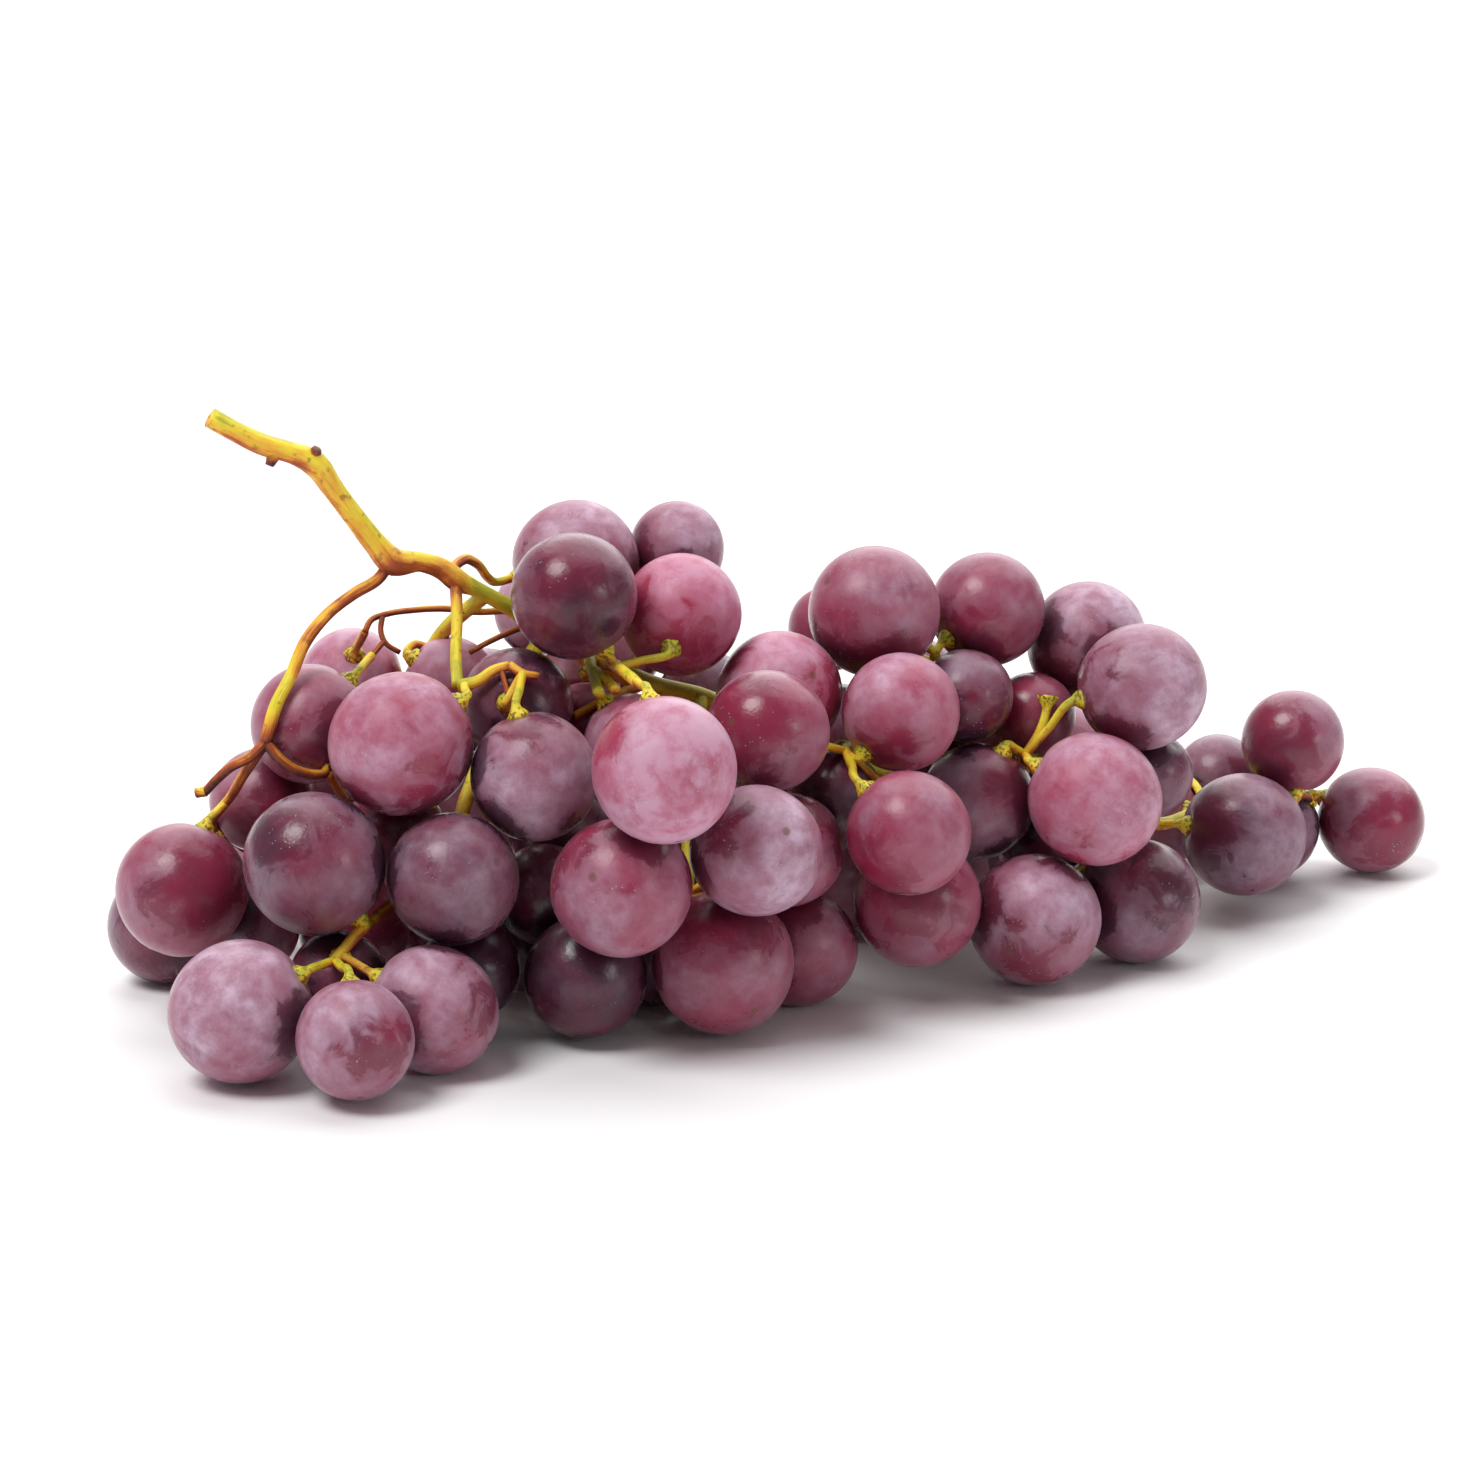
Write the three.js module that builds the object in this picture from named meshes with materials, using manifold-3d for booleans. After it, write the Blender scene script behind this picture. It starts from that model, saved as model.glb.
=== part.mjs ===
import * as THREE from "three";
import { mergeVertices } from "three/addons/utils/BufferGeometryUtils.js";
import Module from "manifold-3d";

const wasm = await Module();
wasm.setup();

// A bunch of large red table grapes lying on a flat surface. Millimetres, +Z up, +X from the cut stem
// end towards the tip of the bunch. Every grape that shows is placed by hand where it is seen, the
// ones behind it follow short rows, and all of them then settle until they only touch.

// Sight line the places are given in: turned 25 degrees about the bunch and looking 16 degrees down.
// A place is right and up of the aim point, and deep is how far it lies behind it.
const TURN_COS = 0.906307787;
const TURN_SIN = 0.422618262;
const DOWN_COS = 0.961261696;
const DOWN_SIN = 0.275637356;
const SIGHT_DISTANCE = 1300;
const AIM_HEIGHT = 45;
const CENTRE_X = 13.8;
const CENTRE_Y = 0;

// How grapes meet: a gap to those of other clusters, a light press between those of one cluster
const FAR_GAP = 0.3;
const MATE_GAP = -0.05;
const MATE_PULL = 0.1;
const HOME_PULL = 0.25;
const FOOT_SINK = 0.3;
const SETTLE_PASSES = 200;
const PUSH_SHARE = 0.5;

// Grape: a slightly long berry, hollowed a little where it hangs on its stalk
const GRAPE_SIDES = 10;
const GRAPE_WIDE = 0.985;
const HOLLOW_RADIUS = 3.2;
const HOLLOW_DEPTH = 0.8;
const PROFILE_ANGLES = [54, 94, 136];
const FACET_SWELL = 1.01;
const PAD_RADIUS = 2.5;
const PAD_SINK = 1.6;
const PAD_SIDES = 4;
const FOOT_RADIUS = 2.6;
const FOOT_HEIGHT = 1.5;
const FOOT_SIDES = 6;

// Stem: one grown piece that thins from the cut end to the tip
const MAIN_SIDES = 7;
const TWIG_SIDES = 4;
const STALK_SIDES = 3;
const STALK_RADIUS = 0.8;
const SOCKET_RADIUS = 2.0;
const SOCKET_LENGTH = 1.9;
const SOCKET_LIFT = 0.05;
const STALK_POINTS = 2;
const RACHIS_CLEARANCE = 2.7;
const RACHIS_BEADS = 5;
const RACHIS_FROM = 6;
const STEM_GAP = 0.3;
const STEER_PASSES = 24;
const STEER_SMOOTH = 0.3;
const STEER_CLEARANCE = 0.4;
const FREE_BRANCHES = 12;
const END_REACH = 3;
const END_CLEARANCE = 2.6;
const END_PASSES = 8;

// Grapes that show, cluster by cluster: right, up, deep, width, and where seen the way the stalk end points
const SEEN = [
  ["wing", -102.4, -28.2, -24, 24.7, [0.35, 0.93, 0.1]],
  ["wing", -89.9, -34.7, -12, 19.0],
  ["wing", -105.5, -34.5, 4, 21.8],
  ["left_foot", -70.5, -55.9, -61, 22.3, [-0.1, 0.95, 0.3]],
  ["left_foot", -91.7, -50.6, -53, 26.7, [0.83, 0.5, -0.1]],
  ["left_foot", -56.1, -50.4, -48, 24.2, [-0.85, 0.5, 0]],
  ["left_foot", -73.6, -45.0, -42, 19.0],
  ["left_foot", -49.6, -42.6, -30, 19.2],
  ["left_foot", -27.7, -44.1, -30, 23.2],
  ["left_foot", -35.4, -29.2, -22, 19.0],
  ["left_front", -52.4, -26.2, -38, 24.7],
  ["left_front", -78.0, -23.4, -42, 26.4],
  ["left_front", -37.6, -7.2, -29, 24.0, [-0.25, 0.95, -0.1]],
  ["left_front", -61.8, -1.3, -32, 26.9, [0.8, 0.58, 0.1]],
  ["left_front", -78.8, 2.4, -16, 22.2, [0.67, 0.74, 0.1]],
  ["left_front", -87.6, -11.6, -10, 19.5],
  ["left_front", -63.1, -17.2, -22, 18.5],
  ["left_front", -40.6, 6.1, -10, 21.0, [-0.15, 0, -1]],
  ["shoulder", -71.2, 10.7, 4, 19.5, [0.11, 0.5, -0.85]],
  ["shoulder", -52.6, 9.8, 2, 17.7, [-0.9, 0.45, -0.1]],
  ["shoulder", -79.7, -7.0, -4, 18.5],
  ["crown", -29.9, 32.1, 0, 23.6],
  ["crown", -30.1, 26.0, -22, 23.6],
  ["crown", -11.1, 34.7, 9, 17.7],
  ["crown", -10.3, 22.5, -8, 22.9, [-0.15, -0.57, -0.8]],
  ["crown", -36.3, 23.4, 16, 17.3],
  ["crown", -29.9, 8.7, 2, 17.0],
  ["crown", -28.0, 2.2, -10, 16.0],
  ["crown", -19.4, -0.8, -25, 18.0, [-0.55, 0.8, -0.1]],
  ["middle_front", -13.5, -6.1, -57, 27.5, [-0.2, 0.97, 0.15]],
  ["middle_front", -21.6, -27.9, -46, 26.4],
  ["middle_front", 3.7, -21.0, -38, 24.7],
  ["middle_front", 9.0, -20.8, -16, 21.4],
  ["middle_front", -2.8, -41.5, -25, 27.0],
  ["middle_front", 11.3, -39.1, -9, 21.8],
  ["middle_front", 18.1, -11.6, 2, 18.5],
  ["middle_top", 7.6, 8.1, -2, 23.4],
  ["middle_top", 5.7, 1.1, -24, 23.0],
  ["middle_top", 30.3, 4.6, -12, 22.3, [-0.64, -0.7, -0.3]],
  ["middle_top", 25.3, 23.1, 3, 24.5],
  ["middle_top", 17.5, 20.1, 20, 16.0],
  ["right_front", 33.2, -30.4, -8, 24.0],
  ["right_front", 31.7, -17.7, -27, 23.4, [-0.7, 0.7, 0.1]],
  ["right_front", 54.8, -33.9, 2, 24.7],
  ["right_front", 74.0, -30.3, 15, 23.2],
  ["right_front", 66.1, -11.3, 0, 24.7, [-0.86, 0.5, 0.05]],
  ["right_front", 44.3, -11.6, 5, 21.5, [0.45, 0.87, -0.2]],
  ["right_front", 56.8, -17.2, 20, 18.0],
  ["right_top", 46.1, 23.6, 14, 21.4],
  ["right_top", 42.3, 7.4, 5, 17.5],
  ["right_top", 64.6, 17.5, 25, 22.5, [-0.57, -0.8, -0.1]],
  ["right_top", 54.6, 4.0, 24, 16.0],
  ["right_top", 74.7, 9.2, 6, 23.8, [-0.97, -0.2, -0.1]],
  ["right_top", 76.2, -7.0, 19, 16.0],
  ["middle_back", -5.9, 6.8, 14, 18.5],
  ["tip", 93.4, -17.9, 46, 22.9, [-0.95, 0.15, -0.25]],
  ["tip", 98.0, -16.6, 68, 19.2],
  ["tip", 88.9, -7.9, 83, 17.0, [0.1, -0.5, -0.85]],
  ["tip", 102.6, -0.9, 57, 19.2],
  ["tip", 117.0, -15.3, 69, 19.9, [-1, 0.15, 0]],
];

// Grapes at the back and inside, in rows from a first to a last place: across, back, up
const ROWS = [
  {
    first: [-84, 18, 11],
    last: [70, 62, 11],
    size: 22,
    clusters: ["shoulder", "shoulder", "middle_back", "middle_back", "right_back", "right_back", "right_back",
      "tip"],
  },
  {
    first: [-74, 14, 28],
    last: [60, 52, 26],
    size: 22,
    clusters: ["shoulder", "shoulder", "middle_back", "middle_back", "right_back", "right_back",
      "right_back"],
  },
  {
    first: [-46, 16, 47],
    last: [-23, 22.5, 45],
    size: 21,
    clusters: ["shoulder", "middle_back"],
  },
  {
    first: [-74, -12, 11],
    last: [84, 44, 11],
    size: 21,
    clusters: ["wing", "wing", "wing", "middle_back", "right_back", "right_back", "right_back", "tip"],
  },
];
const SWAY_STEPS = [0.7549, 0.5698, 0.3247];
const SWAY = 5;
const SWAY_SIZE = 0.12;

// Single grapes inside that close the gaps between the others: right, up, deep, width
const INSIDE = [
  ["middle_back", 2, 5, 36, 18],
  ["right_back", 33, 9.5, 36, 18],
  ["right_back", 48, 2, 44, 17],
  ["right_back", 18.6, 1.5, 26, 17],
  ["left_foot", -32.7, -17.2, -6, 19],
  ["left_foot", -39.5, -38, -4, 18],
  ["middle_front", -15, -40, -2, 20],
];

// Main stem from the cut end to the tip: right, up, deep, radius
const MAIN_STEM = [
  [-97.1, 58.9, -42, 1.9],
  [-92.6, 56.4, -40, 1.8],
  [-87.3, 53.9, -37.5, 2.0],
  [-82.0, 52.4, -35.5, 2.0],
  [-78.2, 50.7, -34, 2.4],
  [-74.8, 46.2, -31.5, 2.0],
  [-70.3, 40.1, -28, 2.0],
  [-66.8, 35.6, -25.5, 2.1],
  [-63.8, 32.5, -24, 2.6],
  [-58.5, 32.3, -21, 1.8],
  [-53.9, 30.6, -18, 2.0],
  [-52.0, 29.1, -17, 2.1],
  [-48.6, 27.5, -14.5, 1.5],
  [-44.8, 25.5, -12, 1.5],
  [-41.9, 23.9, -10, 1.6],
  [-35.4, 19.7, -6, 1.7],
  [-25.3, 13.8, -3, 1.9],
  [-16.0, 9.8, -1, 1.8],
  [-6.8, 7.4, 2, 1.8],
  [6.0, 1.3, 8, 1.7],
  [21.0, -5.2, 15, 1.7],
  [37.5, -8.9, 23, 1.6],
  [52.2, -10.7, 30, 1.6],
  [68.8, -13.1, 38, 1.5],
  [77.5, -16.0, 45, 1.3],
  [82.0, -15.0, 53, 1.2],
  [86.5, -12.5, 61, 1.1],
];

// Branches: the radius at their root and end, then the places they pass
const BRANCHES = [
  [1.15, 1.4, [-64.1, 30.9, -24], [-66.1, 29.3, -24.5], [-70.6, 26.5, -26], [-75.9, 22.3, -28.5],
    [-79.7, 17.4, -30.5], [-82.3, 11.3, -31.5], [-84.6, 5.6, -32], [-86.9, -0.9, -32]],
  [1.1, 0.8, [-86.9, -0.9, -32], [-90.2, -3.9, -32], [-93.2, -5.4, -31.5], [-96.1, -7.9, -30],
    [-98.2, -10.2, -28.5]],
  [1.0, 0.8, [-86.9, -0.9, -32], [-88.8, -3.6, -31], [-91.2, -7.2, -28], [-93.2, -10.6, -23],
    [-94.7, -14.6, -15], [-95.3, -17.6, -9]],
  [1.1, 0.8, [-86.9, -0.9, -32], [-84.8, -3.6, -32], [-82.1, -5.7, -31.5], [-78.4, -6.8, -30.5],
    [-75.6, -6.7, -29]],
  [0.8, 0.8, [-75.6, -6.7, -29], [-74.2, -8.9, -27.5], [-72.6, -11.2, -26]],
  [0.85, 0.7, [-41.8, 22.2, -10], [-47.8, 23.1, -9], [-53.9, 23.7, -9], [-60.0, 23.4, -10],
    [-64.6, 22.7, -10.5], [-67.5, 21.6, -11], [-68.7, 19.3, -12]],
  [0.7, 0.7, [-65.4, 22.3, -10.5], [-65.7, 19.3, -11.5], [-64.9, 17.4, -12], [-62.2, 15.6, -11.5]],
  [0.7, 0.65, [-65.1, 17.8, -12], [-67.4, 15.0, -13]],
  [1.1, 1.05, [-52.0, 29.1, -17], [-51.7, 22.0, -19], [-51.9, 15.0, -21], [-51.6, 9.4, -23]],
  [1.15, 0.9, [-51.6, 9.4, -23], [-47.7, 10.4, -22.5], [-44.9, 12.3, -22], [-42.0, 13.2, -21.5]],
  [0.85, 0.7, [-42.0, 13.2, -21.5], [-39.6, 11.7, -21.5], [-36.6, 11.2, -21]],
  [1.2, 1.0, [-53.2, 30.2, -17.5], [-51.6, 32.0, -15], [-50.2, 32.8, -13], [-47.9, 31.9, -10],
    [-46.1, 29.6, -6], [-44.6, 28.6, -2], [-41, 29.5, 2]],
  [0.75, 0.6, [-37.5, 20.6, -8], [-41.3, 19.9, -10], [-44.6, 18.6, -12], [-48.3, 17.6, -13],
    [-49.3, 15.6, -13.5]],
  [1.3, 1.0, [-25.3, 13.8, -3], [-23.2, 15.0, -10], [-22.0, 14.2, -20], [-20.8, 12.6, -34],
    [-18.6, 10.2, -46]],
  [1.1, 1.0, [-27.3, 15.0, -4], [-27.1, 14.4, -14], [-26.3, 10.8, -22], [-25.5, 8.2, -25]],
  [1.1, 0.9, [-27.1, 14.4, -14], [-25.2, 14.0, -17], [-23.6, 11.4, -22], [-22.4, 8.6, -25]],
  [1.0, 0.8, [-16.5, 9.9, -2], [-18.3, 9.5, -14], [-24.0, 7.0, -18], [-30.0, 3.9, -18]],
  [1.5, 1.0, [-35.4, 19.7, -6], [-44, 2, -8], [-52, -14, -14], [-62, -24, -24], [-69.0, -30.0, -33],
    [-70.4, -34.0, -38], [-72.2, -38.2, -43], [-74.2, -41.2, -46]],
  [1.6, 1.1, [-6.8, 7.4, 2], [-9, -3, -12], [-11, -14, -20], [-11, -24, -22], [-9, -32, -20]],
  [1.3, 1.0, [21.0, -5.2, 15], [19.7, -2.5, 6], [19.0, -1.5, -3], [20.0, -2.6, -9]],
  [1.3, 1.0, [37.5, -8.9, 23], [36, 2, 18], [35.8, 11, 13], [36.5, 15.5, 10]],
  [1.3, 1.0, [52.2, -10.7, 30], [53.0, -6.5, 20], [53.1, -3.3, 8]],
  [1.3, 1.0, [68.8, -13.1, 38], [66, -19, 26], [64, -24, 18]],
  [1.5, 1.0, [-46.4, 26.3, -13], [-52, 22, 0], [-62, 12, 14], [-72, 0, 22], [-76, -12, 22]],
  [1.5, 1.0, [-16.0, 9.8, -1], [-14, 4, 14], [-14, -5, 27], [-11, -14, 35]],
  [1.4, 1.0, [37.5, -8.9, 23], [38, -10, 36], [38, -16, 46]],
  [1.4, 1.0, [6.0, 1.3, 8], [4, -14, 10], [4, -26, 14]],
  [1.0, 0.8, [86.5, -12.5, 61], [95, -11, 61], [101, -10.5, 61], [106, -12, 64]],
];

const SKIN_COLOURS = {
  wing: "#75475a",
  left_foot: "#7d5468",
  left_front: "#744a5f",
  shoulder: "#7c4d60",
  crown: "#6f4357",
  middle_front: "#7f4c60",
  middle_top: "#7b4459",
  right_front: "#7d4b60",
  right_top: "#70465a",
  middle_back: "#6f4458",
  right_back: "#70455a",
  tip: "#6a3c4f",
};
const SKIN_ROUGHNESS = 0.42;
const STEM_COLOUR = "#a8882c";
const STEM_ROUGHNESS = 0.55;

function turned(x, y, z) {
  return [x * TURN_COS + y * TURN_SIN - CENTRE_X, y * TURN_COS - x * TURN_SIN - CENTRE_Y, z];
}

function placed(right, up, deep) {
  const grow = 1 + deep / SIGHT_DISTANCE;
  const back = deep * DOWN_COS + up * grow * DOWN_SIN;
  return turned(right * grow, back, AIM_HEIGHT - deep * DOWN_SIN + up * grow * DOWN_COS);
}

function depthOf(p) {
  const y = (p[0] + CENTRE_X) * TURN_SIN + (p[1] + CENTRE_Y) * TURN_COS;
  return y * DOWN_COS - (p[2] - AIM_HEIGHT) * DOWN_SIN;
}

function apart(p, q) {
  const dx = q[0] - p[0];
  const dy = q[1] - p[1];
  const dz = q[2] - p[2];
  return Math.sqrt(dx * dx + dy * dy + dz * dz);
}

function between(p, q, share) {
  return [0, 1, 2].map((k) => p[k] + (q[k] - p[k]) * share);
}

// A step of the given length from p towards q
function stepped(p, q, length) {
  return between(p, q, length / apart(p, q));
}

function moveBy(p, q, share) {
  for (let k = 0; k < 3; k += 1) {
    p[k] += (q[k] - p[k]) * share;
  }
}

function gathered() {
  const grapes = SEEN.map(([cluster, right, up, deep, size, end]) => ({
    cluster,
    place: placed(right, up, deep),
    radius: (size / 2) * (1 + deep / SIGHT_DISTANCE),
    home: [right, up],
    end,
  }));
  let count = 0;
  for (const row of ROWS) {
    row.clusters.forEach((cluster, i) => {
      const share = i / (row.clusters.length - 1);
      count += 1;
      const sway = SWAY_STEPS.map((step) => ((count * step) % 1) - 0.5);
      const at = [0, 1, 2].map((k) => row.first[k] + (row.last[k] - row.first[k]) * share + SWAY * sway[k]);
      const radius = (row.size / 2) * (1 + SWAY_SIZE * sway[0]);
      grapes.push({ cluster, place: turned(at[0], at[1], at[2]), radius });
    });
  }
  for (const [cluster, right, up, deep, size] of INSIDE) {
    const radius = (size / 2) * (1 + deep / SIGHT_DISTANCE);
    grapes.push({ cluster, place: placed(right, up, deep), radius, home: [right, up] });
  }
  return grapes;
}

// Grapes push apart where they overlap, close up to the nearest one of their cluster, keep off the
// main stem, return to where they are seen and rest on the table.
function settle(grapes, beads) {
  for (let pass = 0; pass < SETTLE_PASSES; pass += 1) {
    for (let i = 0; i < grapes.length; i += 1) {
      const one = grapes[i];
      const p = one.place;
      let near = null;
      let nearGap = 0;
      for (let j = 0; j < grapes.length; j += 1) {
        if (j === i) {
          continue;
        }
        const other = grapes[j];
        const q = other.place;
        const mate = other.cluster === one.cluster;
        const distance = apart(p, q);
        const gap = distance - one.radius - other.radius;
        const want = mate ? MATE_GAP : FAR_GAP;
        if (j > i && gap < want) {
          const push = (PUSH_SHARE * (want - gap)) / distance;
          for (let k = 0; k < 3; k += 1) {
            const shift = (q[k] - p[k]) * push;
            p[k] -= shift;
            q[k] += shift;
          }
        }
        if (j < i && mate && (near === null || gap < nearGap)) {
          near = other;
          nearGap = gap;
        }
      }
      if (near !== null && nearGap > MATE_GAP) {
        const q = near.place;
        const pull = (MATE_PULL * (nearGap - MATE_GAP)) / apart(p, q);
        for (let k = 0; k < 3; k += 1) {
          const shift = (q[k] - p[k]) * pull;
          p[k] += shift;
          q[k] -= shift;
        }
      }
      for (const bead of beads) {
        const distance = apart(p, bead);
        const want = one.radius + RACHIS_CLEARANCE;
        if (distance < want) {
          moveBy(p, bead, -(want - distance) / distance);
        }
      }
      if (one.home) {
        moveBy(p, placed(one.home[0], one.home[1], depthOf(p)), HOME_PULL);
      }
      p[2] = Math.max(p[2], one.radius - FOOT_SINK);
    }
  }
}

function nearestOn(path, p) {
  let best = null;
  for (let i = 0; i + 1 < path.length; i += 1) {
    const a = path[i];
    const b = path[i + 1];
    const length = apart(a, b);
    const along = [0, 1, 2].reduce((sum, k) => sum + (p[k] - a[k]) * (b[k] - a[k]), 0) / (length * length);
    const q = between(a, b, Math.min(1, Math.max(0, along)));
    const distance = apart(p, q);
    if (best === null || distance < best.distance) {
      best = { point: q, distance };
    }
  }
  return best;
}

function nearestPoint(paths, p) {
  const found = paths.map((path) => nearestOn(path, p));
  found.sort((a, b) => a.distance - b.distance);
  return found[0].point;
}

// Bends the inner points of a twig round the grapes, drawn smooth by a share; its ends stay in place
function steered(path, radius, grapes, smooth) {
  const points = path.map((p) => [...p]);
  for (let pass = 0; pass < STEER_PASSES; pass += 1) {
    for (let i = 1; i + 1 < points.length; i += 1) {
      const p = points[i];
      moveBy(p, between(points[i - 1], points[i + 1], 0.5), smooth * (1 - pass / STEER_PASSES));
      for (const grape of grapes) {
        const distance = apart(p, grape.place);
        const want = grape.radius + radius + STEER_CLEARANCE;
        if (distance < want) {
          moveBy(p, grape.place, -(want - distance) / distance);
        }
      }
    }
  }
  return points;
}

// The way a grape's stalk end points: as seen, or towards the nearest branch, clear of its neighbours
function stalkEnd(grape, grapes, paths) {
  const c = grape.place;
  const reach = grape.radius + END_REACH;
  let tip = null;
  if (grape.end) {
    const [right, up, deep] = grape.end;
    const back = deep * DOWN_COS + up * DOWN_SIN;
    const x = right * TURN_COS + back * TURN_SIN;
    const y = back * TURN_COS - right * TURN_SIN;
    tip = stepped(c, [c[0] + x, c[1] + y, c[2] + up * DOWN_COS - deep * DOWN_SIN], reach);
  } else {
    tip = stepped(c, nearestPoint(paths, c), reach);
  }
  for (let pass = 0; pass < END_PASSES; pass += 1) {
    for (const other of grapes) {
      const distance = apart(tip, other.place);
      const want = other.radius + END_CLEARANCE;
      if (other !== grape && distance < want) {
        moveBy(tip, other.place, -(want - distance) / distance);
      }
    }
    tip = stepped(c, tip, reach);
  }
  return stepped([0, 0, 0], [tip[0] - c[0], tip[1] - c[1], tip[2] - c[2]], 1);
}

// A closed round limb through the points, each with its own radius
function limb(points, radii, sides) {
  const positions = [];
  const index = [];
  const spots = points.map((p) => new THREE.Vector3(...p));
  const across = new THREE.Vector3(0.31, 0.87, 0.38);
  spots.forEach((spot, i) => {
    const before = spots[Math.max(0, i - 1)];
    const after = spots[Math.min(spots.length - 1, i + 1)];
    const along = after.clone().sub(before).normalize();
    across.addScaledVector(along, -across.dot(along)).normalize();
    const third = along.clone().cross(across);
    for (let s = 0; s < sides; s += 1) {
      const turn = (2 * Math.PI * s) / sides;
      const rim = spot.clone().addScaledVector(across, radii[i] * Math.cos(turn));
      rim.addScaledVector(third, radii[i] * Math.sin(turn));
      positions.push(rim.x, rim.y, rim.z);
      if (i > 0) {
        const low = (i - 1) * sides;
        const high = i * sides;
        const next = (s + 1) % sides;
        index.push(low + s, low + next, high + s, high + s, low + next, high + next);
      }
    }
  });
  for (let s = 1; s + 1 < sides; s += 1) {
    const last = (spots.length - 1) * sides;
    index.push(0, s + 1, s, last, last + s, last + s + 1);
  }
  const geometry = new THREE.BufferGeometry();
  geometry.setAttribute("position", new THREE.Float32BufferAttribute(positions, 3));
  geometry.setIndex(index);
  return geometry;
}

function solid(geometry) {
  geometry.deleteAttribute("normal");
  geometry.deleteAttribute("uv");
  const welded = mergeVertices(geometry, 1e-4);
  const mesh = new wasm.Mesh({
    numProp: 3,
    vertProperties: new Float32Array(welded.attributes.position.array),
    triVerts: new Uint32Array(welded.index.array),
  });
  return new wasm.Manifold(mesh);
}

// The outer skin of a body's largest piece, without slivers or closed hollows
function finished(body) {
  const pieces = body.decompose();
  pieces.sort((a, b) => b.volume() - a.volume());
  const mesh = pieces[0].getMesh();
  const geometry = new THREE.BufferGeometry();
  geometry.setAttribute("position", new THREE.BufferAttribute(new Float32Array(mesh.vertProperties), 3));
  geometry.setIndex(new THREE.BufferAttribute(new Uint32Array(mesh.triVerts), 1));
  geometry.computeVertexNormals();
  return geometry;
}

// Height of the hollow's rim above the grape's centre
function rimHeight(radius) {
  return GRAPE_WIDE * Math.sqrt(radius * radius - HOLLOW_RADIUS * HOLLOW_RADIUS);
}

function grapeBody(grape) {
  const profile = [new THREE.Vector2(0, -grape.radius)];
  const size = FACET_SWELL * grape.radius;
  for (const angle of [...PROFILE_ANGLES].reverse()) {
    const turn = THREE.MathUtils.degToRad(angle);
    profile.push(new THREE.Vector2(GRAPE_WIDE * size * Math.sin(turn), size * Math.cos(turn)));
  }
  profile.push(new THREE.Vector2(HOLLOW_RADIUS, rimHeight(grape.radius)));
  profile.push(new THREE.Vector2(0, rimHeight(grape.radius) - HOLLOW_DEPTH));
  const geometry = new THREE.LatheGeometry(profile, GRAPE_SIDES);
  const up = new THREE.Vector3(0, 1, 0);
  geometry.applyQuaternion(new THREE.Quaternion().setFromUnitVectors(up, new THREE.Vector3(...grape.axis)));
  geometry.translate(...grape.place);
  return solid(geometry);
}

// Small round pad where two grapes of a cluster press on each other
function padBody(one, other) {
  const distance = apart(one.place, other.place);
  const from = stepped(one.place, other.place, one.radius - PAD_SINK);
  const to = stepped(one.place, other.place, distance - other.radius + PAD_SINK);
  return solid(limb([from, to], [PAD_RADIUS, PAD_RADIUS], PAD_SIDES));
}

// Flat spot a grape rests on
function footBody(grape) {
  const [x, y] = grape.place;
  return solid(limb([[x, y, 0], [x, y, FOOT_HEIGHT]], [FOOT_RADIUS, FOOT_RADIUS], FOOT_SIDES));
}

// Stalk from its branch to the grape, ending in a wider socket that sits in the grape's hollow
function stalkPath(grape, grapes, paths) {
  const c = grape.place;
  const face = rimHeight(grape.radius) - SOCKET_LIFT;
  const out = (length) => [0, 1, 2].map((k) => c[k] + grape.axis[k] * length);
  const neck = out(face + SOCKET_LENGTH);
  const root = nearestPoint(paths, neck);
  const points = [];
  for (let i = 0; i <= STALK_POINTS; i += 1) {
    points.push(between(root, neck, i / STALK_POINTS));
  }
  return [...steered(points, STALK_RADIUS, grapes, STEER_SMOOTH), out(face)];
}

const group = new THREE.Group();
group.name = "bunch_of_grapes";

const mainPath = MAIN_STEM.map(([right, up, deep]) => placed(right, up, deep));
const mainRadii = MAIN_STEM.map((row) => row[3]);
const beads = [];
for (let i = RACHIS_FROM; i + 1 < mainPath.length; i += 1) {
  for (let step = 0; step < RACHIS_BEADS; step += 1) {
    beads.push(between(mainPath[i], mainPath[i + 1], step / RACHIS_BEADS));
  }
}
const grapes = gathered();
settle(grapes, beads);

// Each branch grows from the nearest point of the stem before it; the first ones hang free
const branchPaths = [];
for (const [rootRadius, , ...places] of BRANCHES) {
  const points = places.map(([right, up, deep]) => placed(right, up, deep));
  points[0] = nearestPoint([mainPath, ...branchPaths], points[0]);
  const smooth = branchPaths.length < FREE_BRANCHES ? 0 : STEER_SMOOTH;
  branchPaths.push(steered(points, rootRadius, grapes, smooth));
}
const paths = [...branchPaths, mainPath.slice(RACHIS_FROM)];
for (const grape of grapes) {
  grape.axis = stalkEnd(grape, grapes, paths);
}

// The stem as one body, or the same fattened to cut the grapes with
function stemBody(extra) {
  const parts = [solid(limb(mainPath, mainRadii.map((radius) => radius + extra), MAIN_SIDES))];
  branchPaths.forEach((path, i) => {
    const [from, to] = BRANCHES[i];
    const radii = path.map((p, k) => from + (to - from) * (k / (path.length - 1)) + extra);
    parts.push(solid(limb(path, radii, TWIG_SIDES)));
  });
  for (const grape of grapes) {
    const path = stalkPath(grape, grapes, paths);
    const radii = path.map(() => STALK_RADIUS + extra);
    radii[radii.length - 1] = SOCKET_RADIUS + extra;
    parts.push(solid(limb(path, radii, STALK_SIDES)));
  }
  return wasm.Manifold.union(parts);
}

const stem = stemBody(0);
const cutter = stemBody(STEM_GAP);
const TABLE_SIZE = 500;
const table = solid(new THREE.BoxGeometry(TABLE_SIZE, TABLE_SIZE, TABLE_SIZE));
const belowTable = table.translate(0, 0, -TABLE_SIZE / 2);

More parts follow.
